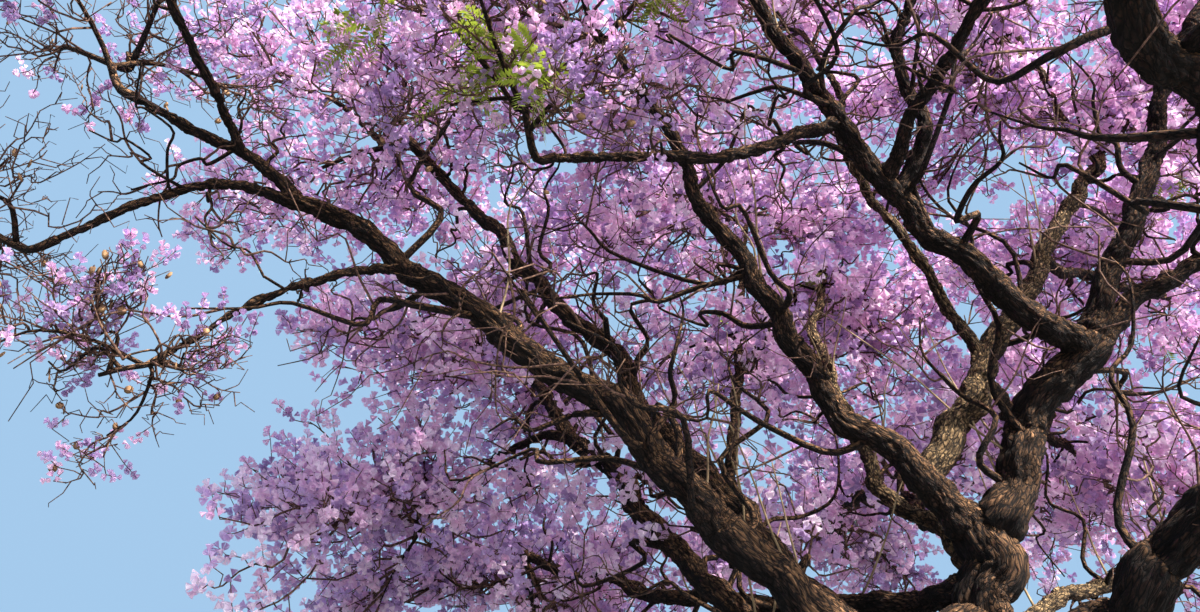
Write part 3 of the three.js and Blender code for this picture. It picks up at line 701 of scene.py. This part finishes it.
TWIGLET_GROWTH = 0.5
TWIGLET_RADII = (0.0075, 0.004)
TWIGLET_THINNING = 0.6
TWIGLET_KINK = 0.32  # of its length
TWIGLET_NODES = 4
TWIGLET_ROOM = 0.12
CLUSTER_ROOM = 0.15
FULL_TURN = 6.28
OVERHANG = np.array((0.2, 0.2, 0))


def on_axis(points, rings, t):
    """The place at share t on the straight lines between a branch's rings."""
    ring = min(rings - 1, math.floor(t * rings))
    low, high = along(points, [ring / rings, (ring + 1) / rings])
    return low + (high - low) * (t * rings - ring)


def twig_way(mass, foot, branch_way, seed, j, attempt):
    if j == TWIGS - 1 and attempt == 0:
        return branch_way
    outward = (foot - mass["middle"]) / mass["extent"]
    angle = j * GOLDEN_ANGLE + attempt * TURN_ON
    steep = TWIG_STEEPNESS * either(seed, STEEPNESS_DRAW + j)
    side = np.array([math.cos(angle), math.sin(angle), steep])
    return unit(branch_way * TWIG_ALONG + outward * TWIG_OUTWARD + side * TWIG_SIDEWAYS)


def within_reach(places):
    """Which places lie within the tree's own height and spread."""
    low, high = np.array(cad_box[0]), np.array(cad_box[1])
    return ((places > low - OVERHANG) & (places < high + OVERHANG)).all(axis=1)


twigs = []
for branch in branches:
    mass, seed = masses[branch["mass"]], branch["seed"]
    end = on_axis(branch["points"], 2, 1)
    branch_way = unit(end - on_axis(branch["points"], 2, BRANCH_END))
    size = mass["extent"][0] / FULL_REACH
    for j in range(TWIGS):
        if chance(seed, SKIP_DRAW + j) > mass["fullness"]:
            continue
        foot = along(branch["points"], LAST_TWIG_SHARE * (j + 1) / TWIGS)[0]
        share = TWIG_LENGTHS[0] + (TWIG_LENGTHS[1] - TWIG_LENGTHS[0]) * chance(seed, LENGTH_DRAW + j)
        length = TWIG_LENGTH * size * share
        for attempt in range(TRIES):
            way = twig_way(mass, foot, branch_way, seed, j, attempt)
            tip = foot + way * length
            waist = foot + way * length * TWIG_WAIST
            tests = np.array([tip, waist, (foot + waist) / 2])
            if (
                within_reach(tests[:1]).all()
                and in_own_space(branch["mass"], tests[:2], TWIG_ROOM).all()
                and clear_of_limbs(tests, LIMB_ROOM).all()
            ):
                twigs.append((foot, tip, branch["mass"], size))
                break

rng = np.random.default_rng(FIRST_MASS_SEED)
feet, tips, twig_mass, twig_size = (np.array(column) for column in zip(*twigs))


def crooked_many(starts, ends, kinks, nodes, rng, rise=0.0):
    """Zigzag courses from starts to ends, whose nodes between stray sideways and rise in an arch."""
    t = np.linspace(0, 1, nodes)[:, None]
    courses = starts[:, None] + (ends - starts)[:, None] * t
    stray = rng.uniform(-1, 1, size=courses.shape) * kinks[:, None, None]
    stray[:, [0, -1]] = 0
    arch = (4 * t * (1 - t)) * np.array([0, 0, 1.0])
    return courses + stray + arch * np.broadcast_to(rise, len(starts))[:, None, None]


def smooth_courses(starts, ends, kinks, steps, rng, rise=0.0):
    """Smooth curves through such nodes. Steps are the counts of nodes and of rings."""
    courses = crooked_many(starts, ends, kinks, steps[0], rng, rise)
    return np.array([along(course, np.linspace(0, 1, steps[1])) for course in courses])


fullness = np.array([mass["fullness"] for mass in masses])
girth_share = np.interp(fullness, *TWIG_GIRTHS)
twig_rise = -TWIG_BOW * twig_size * rng.uniform(*TWIG_SAGS, len(twigs))
twig_courses = smooth_courses(feet, tips, TWIG_KINK * twig_size, (TWIG_NODES, TWIG_RINGS), rng, twig_rise)
twig_girths = np.linspace(*TWIG_RADII, TWIG_RINGS) * girth_share[twig_mass][:, None]

# Twiglets leave each twig all along it, leaning forwards and a little upwards.
steps = (np.arange(TWIGLETS) + TWIGLET_STEP) / TWIGLETS * TWIGLET_SPAN + FIRST_TWIGLET
spot = steps * (TWIG_RINGS - 1)
piece = np.minimum(spot.astype(int), TWIG_RINGS - 2)
ratio = (spot - piece)[:, None]
starts = twig_courses[:, piece] * (1 - ratio) + twig_courses[:, piece + 1] * ratio
twig_ways = unit(tips - feet)[:, None]
across = unit(np.cross(twig_ways, (0.0, 0.0, 1.0)))
other = np.cross(twig_ways, across)
turn = (np.arange(TWIGLETS) * GOLDEN_ANGLE + rng.uniform(0, FULL_TURN, (len(twigs), 1)))[:, :, None]
lean = rng.uniform(*TWIGLET_LEANS, (len(twigs), TWIGLETS, 1))
sideways = (across * np.cos(turn) + other * np.sin(turn)) * TWIGLET_SIDEWAYS
twiglet_ways = unit(twig_ways * lean + sideways + TWIGLET_LIFT)
twiglet_lengths = rng.uniform(*TWIGLET_LENGTHS, (len(twigs), TWIGLETS)) * twig_size[:, None] ** TWIGLET_GROWTH
starts, twiglet_ways = starts.reshape(-1, 3), twiglet_ways.reshape(-1, 3)
twiglet_lengths = twiglet_lengths.ravel()
ends = starts + twiglet_ways * twiglet_lengths[:, None]
twiglet_mass = np.repeat(twig_mass, TWIGLETS)
free = np.zeros(len(ends), bool)
for number in range(len(masses)):
    own = np.flatnonzero(twiglet_mass == number)
    free[own] = in_own_space(number, ends[own], 0) & clear_of_limbs(ends[own], TWIGLET_ROOM)
free &= within_reach(ends + twiglet_ways * CLUSTER_ROOM)
starts, ends, twiglet_ways = starts[free], ends[free], twiglet_ways[free]
twiglet_lengths, twiglet_mass = twiglet_lengths[free], twiglet_mass[free]

# Blossom
# Jacaranda flowers are soft lilac trumpets with five lobes, in loose clusters at the ends of the twiglets
# and twigs. A flower is 40 mm wide in life. In the full masses it is drawn about twice as wide, so that
# fewer fill the spread. Lobes are single faces, held a little apart as the real ones are.
FLOWERS = 5
CLUSTER_LENGTHS = (0.08, 0.17)
FLOWER_LENGTH = 0.064
FLOWER_RADIUS = 0.037
FLOWER_SCALES = ((0.42, 0.6, 0.75, 1), (0.52, 0.58, 0.76, 1.08))  # by the fullness of the mass
LOBES = 5
LOBE_HALF_ANGLE = 0.56
BLOOM = 0.86  # share of the twiglets of a full mass that bear a cluster
BARE_FULLNESS = 0.5  # fullness at which a mass would bear none
FULL = 0.82
SIDE_STALK = 0.06
SIDE_PLACE = (0.45, 0.55)  # shares of the twiglet's foot and of its tip in the place of a side cluster
SIDE_STRAY = 0.9
CLUSTER_LIFT = (0, 0, 0.4)
TIP_BLOOM = 1.6  # of that share, for the tips of twigs
PITCH_LOWEST = -25
PITCH_RANGE = 95
PITCH_STRAY = 14
FLOWER_STRAY = 0.12
FLOWER_SIZES = (0.8, 1.15)

bloom = BLOOM * (fullness - BARE_FULLNESS) / (FULL - BARE_FULLNESS)
blooming = rng.uniform(size=len(ends)) < bloom[twiglet_mass]
tipped = rng.uniform(size=len(tips)) < TIP_BLOOM * bloom[twig_mass]
tipped &= within_reach(tips + (0, 0, CLUSTER_LENGTHS[1]))
# A side cluster stands below each end cluster, on its own short stalk.
side_feet = starts[blooming] * SIDE_PLACE[0] + ends[blooming] * SIDE_PLACE[1]
side_ways = unit(twiglet_ways[blooming] + rng.normal(0, SIDE_STRAY, (blooming.sum(), 3)))
side_roots = side_feet + side_ways * SIDE_STALK
end_ways = unit(np.vstack([twiglet_ways[blooming], unit(tips - feet)[tipped]]) + CLUSTER_LIFT)
roots = np.vstack([ends[blooming], tips[tipped], side_roots])
axes = np.vstack([end_ways, side_ways])
cluster_mass = np.concatenate([twiglet_mass[blooming], twig_mass[tipped], twiglet_mass[blooming]])
cluster_lengths = rng.uniform(*CLUSTER_LENGTHS, len(roots))

SHADES = (
    ("lilac_blossom_bright", "#FAF2FA", "#F6CEEE"),
    ("lilac_blossom_pink", "#F2DEEE", "#F0B8E0"),
    ("lilac_blossom_mid", "#EAD0E6", "#E6AEDC"),
    ("lilac_blossom_blue", "#D6C2E2", "#D2A6DE"),
    ("lilac_blossom_deep", "#B49CC4", "#B088C0"),
)
SHADE_SHARES = (0.255, 0.23, 0.225, 0.165, 0.125)
# The open masses are dealt more of the deep and blue shades and fewer bright ones: painted shade.
SHADED_OPEN_SHARES = (0.02, 0.1, 0.24, 0.3, 0.34)
OPEN_FULLNESS = 0.7
CLOSE_FULLNESS = 0.78


def thin_material(name, colour, glow, inputs):
    """Thin petals or leaves: half of the light falls through them and comes out as the glow."""
    material, tree = new_material(name)
    face = add_node(tree, "BsdfPrincipled", {"Base Color": linear(colour), **inputs})
    through = add_node(tree, "BsdfTranslucent", {"Color": linear(glow)})
    mixed = add_node(tree, "MixShader", {0: 0.5, 1: face.outputs[0], 2: through.outputs[0]})
    add_node(tree, "OutputMaterial", {"Surface": mixed.outputs[0]})
    return material


def around(axis_ways):
    """Two directions square to each way and to each other."""
    away = np.where(np.abs(axis_ways[..., 2:]) < STEEP, (0.0, 0.0, 1.0), (0.0, 1.0, 0.0))
    first = unit(np.cross(axis_ways, away))
    return first, np.cross(axis_ways, first)


def cluster_flowers(roots, axes, lengths, scales, rng):
    """Apex, way and size of every flower: they stand round each cluster's stalk, the last ones along it."""
    share = (np.arange(FLOWERS) + 0.5) / FLOWERS
    turn = np.arange(FLOWERS) * GOLDEN_ANGLE + rng.uniform(0, FULL_TURN, (len(roots), 1))
    first, second = around(axes)
    out = first[:, None] * np.cos(turn)[..., None] + second[:, None] * np.sin(turn)[..., None]
    pitch = PITCH_LOWEST + PITCH_RANGE * share + rng.normal(0, PITCH_STRAY, (len(roots), FLOWERS))
    pitch = np.radians(pitch)[..., None]
    ways = out * np.cos(pitch) + axes[:, None] * np.sin(pitch) + rng.normal(0, FLOWER_STRAY, out.shape)
    apexes = roots[:, None] + axes[:, None] * (share * lengths[:, None])[..., None]
    sizes = rng.uniform(*FLOWER_SIZES, (len(roots), FLOWERS)) * scales[:, None]
    return apexes.reshape(-1, 3), unit(ways).reshape(-1, 3), sizes.ravel()


def flower_mesh(name, apexes, ways, sizes, rng):
    """Five-lobed trumpets: each lobe is a face from the flower's foot to its mouth."""
    first, second = around(ways)
    lobe = np.arange(LOBES) * (2 * math.pi / LOBES) + rng.uniform(0, FULL_TURN, (len(apexes), 1))
    angle = np.stack([lobe - LOBE_HALF_ANGLE, lobe + LOBE_HALF_ANGLE], 2)[..., None]
    mouth = apexes + ways * (FLOWER_LENGTH * sizes)[:, None]
    spread = first[:, None, None] * np.cos(angle) + second[:, None, None] * np.sin(angle)
    rims = mouth[:, None, None] + spread * (FLOWER_RADIUS * sizes)[:, None, None, None]
    feet = np.broadcast_to(apexes[:, None, None], (len(apexes), LOBES, 1, 3))
    places = np.concatenate([feet, rims], 2).reshape(-1, 3)
    return mesh_of(name, places, np.arange(len(places)).reshape(-1, 3))


PETAL_LOOK = {"Roughness": 0.7, "Specular IOR Level": 0.2, "Sheen Weight": 0.25}
petals = [thin_material(name + "_petals", colour, glow, PETAL_LOOK) for name, colour, glow in SHADES]


def grow_blossom(prefix, roots, axes, lengths, scales, shades, rng):
    """Clusters of flowers, as one piece for each shade."""
    for number, (name, _, _) in enumerate(SHADES):
        chosen = shades == number
        flowers = cluster_flowers(roots[chosen], axes[chosen], lengths[chosen], scales[chosen], rng)
        grown_piece(flower_mesh(prefix + name, *flowers, rng), petals[number], "blossom")


flower_scales = np.interp(fullness[cluster_mass], *FLOWER_SCALES)
shade_of_cluster = rng.choice(len(SHADES), size=len(roots), p=SHADE_SHARES)
# Clusters of the open masses are dealt out darker: painted shade.
open_cluster = fullness[cluster_mass] < OPEN_FULLNESS
shade_of_cluster[open_cluster] = rng.choice(len(SHADES), size=open_cluster.sum(), p=SHADED_OPEN_SHARES)
# The smaller flowers of the open masses stand twice as close.
twice = np.concatenate([np.arange(len(roots)), np.flatnonzero(fullness[cluster_mass] < CLOSE_FULLNESS)])
roots, axes, cluster_lengths = roots[twice], axes[twice], cluster_lengths[twice]
grow_blossom("", roots, axes, cluster_lengths, flower_scales[twice], shade_of_cluster[twice], rng)

# A bare twiglet has two bends. One that blooms goes on as the stalk of its cluster.
twiglet_courses = crooked_many(starts, ends, TWIGLET_KINK * twiglet_lengths, TWIGLET_NODES, rng)
borne = blooming.sum()
twiglet_courses[blooming, 2] = ends[blooming]
twiglet_courses[blooming, 3] = roots[:borne] + axes[:borne] * cluster_lengths[:borne, None]
twiglet_girths = girth_share[twiglet_mass][:, None] ** TWIGLET_THINNING
twiglet_girths = np.linspace(*TWIGLET_RADII, TWIGLET_NODES) * twiglet_girths
twig_bark = twig_material("twig_bark", *TWIG_TONES)
grown_piece(joined_tubes("twigs", twig_courses, twig_girths, TWIG_SIDES), twig_bark, "bark")
half = len(twiglet_courses) // 2
for name, part in (("twiglets_left", slice(half)), ("twiglets_right", slice(half, None))):
    made = joined_tubes(name, twiglet_courses[part], twiglet_girths[part], TWIG_SIDES)
    grown_piece(made, twig_bark, "bark")

# Side branches
# Crooked side branches leave the limbs all along them. They fork twice, and most of them are bare, as their
# leaves fell before the tree bloomed.
SIDE_SPACING = 0.5
SIDE_SHARES = (0.22, 0.97)  # of the limb's length
SIDE_LEANS = (0.2, 0.9)
SIDE_LIFT = (0, 0, 0.3)
WAY_STEPS = 40
SIDE_LENGTHS = (0.6, 2.1)
STOUT_LIMB = 0.08
SIDE_VIGOUR = (0.5, 1.2)
SIDE_GIRTH = 0.32  # of the limb's
SIDE_STOUTEST = 0.034
SIDE_TIP = 0.007
SIDE_KINK = 0.1  # of its length
SIDE_STEPS = (7, 22)
SIDE_SIDES = 5
LOWEST_SIDE = 1.5
FORKS = 3
FIRST_FORK = 4  # forks start at a quarter of the side branch
FORK_AHEAD = 0.8
FORK_LIFT = (0, 0, 0.2)
FORK_SHARE = (0.35, 0.65)  # of the side branch's length
FORK_KINK = 0.12
FORK_STEPS = (5, 12)
FORK_RADII = (0.012, 0.005)
TWIGS_A_FORK = 3
FINE_SHARE = (0.3, 0.7)  # of the fork's length
FINE_KINK = 0.15
FINE_NODES = 4
FINE_RADII = (0.0055, 0.0035)
side_branches = []
for name, limb in limbs.items():
    if name in ("trunk", "right_stem"):
        continue
    count = round(limb["length"] / SIDE_SPACING)
    t = rng.uniform(*SIDE_SHARES, count)
    heads = directions(along(limb["points"], np.linspace(0, 1, WAY_STEPS + 1)))
    heads = heads[np.rint(t * WAY_STEPS).astype(int)]
    away = unit(np.cross(heads, rng.normal(size=(count, 3))))
    ways = unit(away + heads * rng.uniform(*SIDE_LEANS, (count, 1)) + SIDE_LIFT)
    lengths = rng.uniform(*SIDE_LENGTHS, count) * np.clip(limb["girth"](t) / STOUT_LIMB, *SIDE_VIGOUR)
    places = along(limb["points"], t)
    girths = np.minimum(limb["girth"](t) * SIDE_GIRTH, SIDE_STOUTEST)
    side_branches.append(np.column_stack([places, places + ways * lengths[:, None], girths]))
side_starts, side_ends, side_girths = np.split(np.vstack(side_branches), (3, 6), axis=1)
kept = within_reach(side_ends) & (side_ends[:, 2] > LOWEST_SIDE)
side_starts, side_ends, side_girths = side_starts[kept], side_ends[kept], side_girths[kept]
side_lengths = np.linalg.norm(side_ends - side_starts, axis=1)
side_courses = smooth_courses(side_starts, side_ends, SIDE_KINK * side_lengths, SIDE_STEPS, rng)
side_radii = side_girths + (SIDE_TIP - side_girths) * np.linspace(0, 1, SIDE_STEPS[1])


def forked(courses, lengths, count, shares, rng):
    """Starts, ends and lengths of side shoots that leave each course, leaning forwards."""
    at = rng.integers(courses.shape[1] // FIRST_FORK, courses.shape[1], (len(courses), count))
    starts = np.take_along_axis(courses, at[:, :, None], 1)
    before = np.take_along_axis(courses, at[:, :, None] - 1, 1)
    ways = unit(unit(starts - before) * FORK_AHEAD + unit(rng.normal(size=starts.shape)) + FORK_LIFT)
    reach = lengths[:, None, None] * rng.uniform(*shares, (*at.shape, 1))
    ends = (starts + ways * reach).reshape(-1, 3)
    kept = within_reach(ends)
    return starts.reshape(-1, 3)[kept], ends[kept], reach.ravel()[kept]


def thin_shoots(name, courses, taper, sides, bark):
    """A piece of shoots that all taper alike."""
    radii = np.broadcast_to(np.linspace(*taper, courses.shape[1]), courses.shape[:2])
    grown_piece(joined_tubes(name, courses, radii, sides), bark, "bark")


fork_starts, fork_ends, fork_lengths = forked(side_courses, side_lengths, FORKS, FORK_SHARE, rng)
fork_courses = smooth_courses(fork_starts, fork_ends, FORK_KINK * fork_lengths, FORK_STEPS, rng)
fine_starts, fine_ends, fine_lengths = forked(fork_courses, fork_lengths, TWIGS_A_FORK, FINE_SHARE, rng)
fine_courses = crooked_many(fine_starts, fine_ends, FINE_KINK * fine_lengths, FINE_NODES, rng)
grown_piece(joined_tubes("side_branches", side_courses, side_radii, SIDE_SIDES), dark_bark, "bark")
thin_shoots("side_forks", fork_courses, FORK_RADII, TWIG_SIDES, twig_bark)
thin_shoots("side_twigs", fine_courses, FINE_RADII, TWIG_SIDES, twig_bark)

# Blossom on the side branches
# On the far side of the tree the side branches bloom too, in the same loose clusters at their tips and a
# little below them.
FAR_SIDE = 0.7  # how far behind the middle of the trunk the blooming tips start
LOWEST_BLOOM = 3.7
FAR_SCALE = 1.05
FAR_PLACE = (0.4, 0.6)
FAR_SEED = 29
far_rng = np.random.default_rng(FAR_SEED)
far = (fine_ends[:, 1] > FAR_SIDE) & (fine_ends[:, 2] > LOWEST_BLOOM)
far_ways = unit(fine_ends - fine_starts)[far]
below_ways = unit(far_ways + far_rng.normal(0, SIDE_STRAY, far_ways.shape))
below_feet = (fine_starts * FAR_PLACE[0] + fine_ends * FAR_PLACE[1])[far]
far_roots = np.vstack([fine_ends[far], below_feet + below_ways * SIDE_STALK])
far_axes = np.vstack([unit(far_ways + CLUSTER_LIFT), below_ways])
far_lengths = far_rng.uniform(*CLUSTER_LENGTHS, len(far_roots))
far_shades = far_rng.choice(len(SHADES), size=len(far_roots), p=SHADE_SHARES)
far_scales = np.full(len(far_roots), FAR_SCALE)
grow_blossom("far_", far_roots, far_axes, far_lengths, far_scales, far_shades, far_rng)

# Straight shoots
# Where old limbs were wounded, long straight shoots with smooth pale bark rise from their upper sides.
SHOOTS = 30
SHOOT_LENGTHS = (0.8, 2.4)
SHOOT_SHARES = (0.12, 0.75)  # of the limb's length
SHOOT_LEAN = 0.28
SHOOT_KINK = 0.03
SHOOT_STEPS = (5, 14)
SHOOT_SIDES = 5
SHOOT_RADII = (0.011, 0.005)
SHOOT_TONES = (9, "#6E5A44", "#8E785A", "#B09A78")
SHOOT_LIMBS = (
    "left_bough", "second_bough", "back_left_bough", "low_back_bough", "middle_bough",
    "pale_bough", "right_bough", "arching_bough", "low_right_branch", "inner_bough",
)
shoot_starts = []
for i in range(SHOOTS):
    limb = limbs[SHOOT_LIMBS[i % len(SHOOT_LIMBS)]]
    shoot_starts.append(along(limb["points"], rng.uniform(*SHOOT_SHARES))[0])
shoot_starts = np.array(shoot_starts)
shoot_ways = unit(rng.normal(0, SHOOT_LEAN, (SHOOTS, 3)) + (0, 0, 1))
shoot_lengths = rng.uniform(*SHOOT_LENGTHS, SHOOTS)
shoot_ends = shoot_starts + shoot_ways * shoot_lengths[:, None]
shoot_courses = smooth_courses(shoot_starts, shoot_ends, SHOOT_KINK * shoot_lengths, SHOOT_STEPS, rng)
shoot_bark = twig_material("smooth_pale_bark", *SHOOT_TONES)
thin_shoots("straight_shoots", shoot_courses, SHOOT_RADII, SHOOT_SIDES, shoot_bark)

# New leaves
# The first ferny leaves of the season, bright green and twice divided, hang in a few sprigs at twig ends.
# A leaf is 300 to 400 mm long. Each of its side stalks with its leaflets is one lance-shaped blade.
PINNAE = 13  # on each side of a leaf
LEAF_LENGTHS = (0.28, 0.42)
PINNA_SHARE = 0.27  # of the leaf's length
PINNA_WIDTH = 0.17  # of its own length
LEAVES_A_SPRIG = 5
SPRIGS_A_SPOT = 3
SPRIG_SPOTS = (
    (-2.97, -2.4, 5.95), (-2.85, -2.35, 5.7), (-3.1, -2.2, 6.2), (-4.7, -0.9, 7.8), (-1.96, -1.35, 7.6)
)
ODD_SPRIGS = 16
LUSH_FULLNESS = 0.9
LEAF_AHEAD = 0.4
LEAF_STRAY = 0.6
LEAF_DROOP = np.array([0, 0, -0.55])
LEAF_RINGS = 7
LEAF_STALK_RADII = (0.003, 0.0015)
PINNA_START = 0.7
PINNA_TAPER = (0.12, 0.8, 0.7)
PINNA_AHEAD = 0.55
PINNA_STRAY = 0.06
PINNA_WIDEST = 0.45  # of its length
PINNA_TILT = 0.2
NEARLY_UP = (0.1, 0.1, 1.0)
near_spots = [np.argsort(np.linalg.norm(ends - spot, axis=1))[:SPRIGS_A_SPOT] for spot in SPRIG_SPOTS]
full_ends = np.flatnonzero(fullness[twiglet_mass] > LUSH_FULLNESS)
leafy = np.unique(np.concatenate([*near_spots, rng.choice(full_ends, ODD_SPRIGS, replace=False)]))
leaf_feet = np.repeat(ends[leafy], LEAVES_A_SPRIG, axis=0)
leaf_ways = np.repeat(twiglet_ways[leafy], LEAVES_A_SPRIG, axis=0)
leaf_ways = unit(leaf_ways * LEAF_AHEAD + rng.normal(0, LEAF_STRAY, leaf_feet.shape))
leaf_lengths = rng.uniform(*LEAF_LENGTHS, len(leaf_feet))


def along_leaves(t):
    """Places at shares t of the drooping stalk of each leaf."""
    t = t[:, None]
    return leaf_feet[:, None] + (leaf_ways[:, None] * t + LEAF_DROOP * t**2) * leaf_lengths[:, None, None]


rachis = along_leaves(np.linspace(0, 1, LEAF_RINGS))
thin_shoots("leaf_stalks", rachis, LEAF_STALK_RADII, TWIG_SIDES, shoot_bark)
share = (np.arange(PINNAE) + PINNA_START) / PINNAE
base = along_leaves(share)
heading = unit(leaf_ways[:, None] + 2 * LEAF_DROOP * share[:, None])
flat_side = unit(np.cross(heading, leaf_ways[:, None] * PINNA_TILT + NEARLY_UP))
width = np.sin(np.pi * (PINNA_TAPER[0] + PINNA_TAPER[1] * share)) ** PINNA_TAPER[2]
blades = []
for hand in (-1, 1):
    way = unit(flat_side * hand + heading * PINNA_AHEAD + rng.normal(0, PINNA_STRAY, flat_side.shape))
    size = (leaf_lengths[:, None] * PINNA_SHARE * width)[..., None]
    middle = base + way * size * PINNA_WIDEST
    half_width = heading * size * PINNA_WIDTH
    blades.append(np.stack([base, middle - half_width, base + way * size, middle + half_width], 2))
blades = np.concatenate(blades).reshape(-1, 3)
LEAF_LOOK = {"Roughness": 0.5, "Specular IOR Level": 0.35}
leaf_green = thin_material("young_fern_leaf", "#7E8E38", "#9AAC3C", LEAF_LOOK)
grown_piece(mesh_of("green_leaves", blades, np.arange(len(blades)).reshape(-1, 4)), leaf_green, "blossom")

# Seed pods
# Last year's pods: flat round woody cases 50 to 70 mm wide, tan outside, that hang on the bare twigs in ones
# and twos until the wind takes them.
PODS = 150
POD_RADII = (0.026, 0.035)
POD_THICKNESS = 0.28  # of its width
POD_RIM = 9
POD_TONES = (30, "#5E4430", "#8A6A4A", "#B08C66")
POD_LIKING = 2.5  # how much likelier a pod hangs in an open mass
POD_HANG = (0, 0, 0.035)
POD_UPRIGHT = (1, 1, 0.25)
bare_ends = ends[~blooming]
weights = np.where(fullness[twiglet_mass[~blooming]] < OPEN_FULLNESS, POD_LIKING, 1.0)
chosen = rng.choice(len(bare_ends), PODS, replace=False, p=weights / weights.sum())
pod_centres = bare_ends[chosen] - POD_HANG
pod_faces = unit(rng.normal(size=(PODS, 3)) * POD_UPRIGHT)
first, second = around(pod_faces)
angle = np.arange(POD_RIM) * (2 * math.pi / POD_RIM)
pod_radii = rng.uniform(*POD_RADII, PODS)[:, None, None]
rim = first[:, None] * np.cos(angle)[:, None] + second[:, None] * np.sin(angle)[:, None]
poles = pod_faces[:, None] * np.array([1, -1])[:, None] * POD_THICKNESS
pods = (pod_centres[:, None] + np.concatenate([rim, poles], 1) * pod_radii).reshape(-1, 3)
corner = np.arange(POD_RIM)
onward = (corner + 1) % POD_RIM
faces = np.concatenate([
    np.stack([corner, onward, np.full(POD_RIM, POD_RIM)], 1),
    np.stack([onward, corner, np.full(POD_RIM, POD_RIM + 1)], 1),
])
faces = (np.arange(PODS)[:, None, None] * (POD_RIM + 2) + faces).reshape(-1, 3)
pod_wood = twig_material("dry_pod_wood", *POD_TONES)
grown_piece(mesh_of("seed_pods", pods, faces), pod_wood, "bark")

# Ground and light
# Plain grey studio ground, a high sun behind the viewer's right shoulder, a broad low lamp beside it and
# an even pale blue surround.
GROUND_RADIUS = 300
GROUND_CORNERS = 96
GROUND_SUNK = -0.002
PAPER_ROUGHNESS = 0.95
ground = bmesh.new()
bmesh.ops.create_circle(ground, cap_ends=True, segments=GROUND_CORNERS, radius=GROUND_RADIUS)
ground_mesh = bpy.data.meshes.new("studio_ground")
ground.to_mesh(ground_mesh)
ground.free()
paper, tree = new_material("pale_studio_paper")
solid_surface(tree, linear("#7C7C78"), PAPER_ROUGHNESS)
ground_mesh.materials.append(paper)
studio_ground = placed("studio_ground", ground_mesh)
studio_ground.location = (0, 0, GROUND_SUNK)

# Each lamp: where it shines from, its strength, how many degrees wide it looks, and its colour.
LAMPS = (
    ("sun", (0.45, -0.5, 0.74), 12.2, 2, (1.0, 0.95, 0.88)),
    ("fill", (0.75, -0.75, 0.14), 5.2, 40, (1.0, 1.0, 1.0)),
)
for name, shines_from, strength, width, colour in LAMPS:
    lamp = placed(name, bpy.data.lights.new(name, "SUN"))
    lamp.data.energy = strength
    lamp.data.angle = math.radians(width)
    lamp.data.color = colour
    lamp.rotation_mode = "QUATERNION"
    lamp.rotation_quaternion = Vector(shines_from).to_track_quat("Z", "Y")

SURROUND_STRENGTH = 0.95
surround = bpy.data.worlds.new("pale_surround")
surround.use_nodes = True
surround.node_tree.nodes["Background"].inputs["Color"].default_value = linear("#A9CFF2")
surround.node_tree.nodes["Background"].inputs["Strength"].default_value = SURROUND_STRENGTH
bpy.context.scene.world = surround
bpy.context.scene.view_settings.view_transform = "Standard"
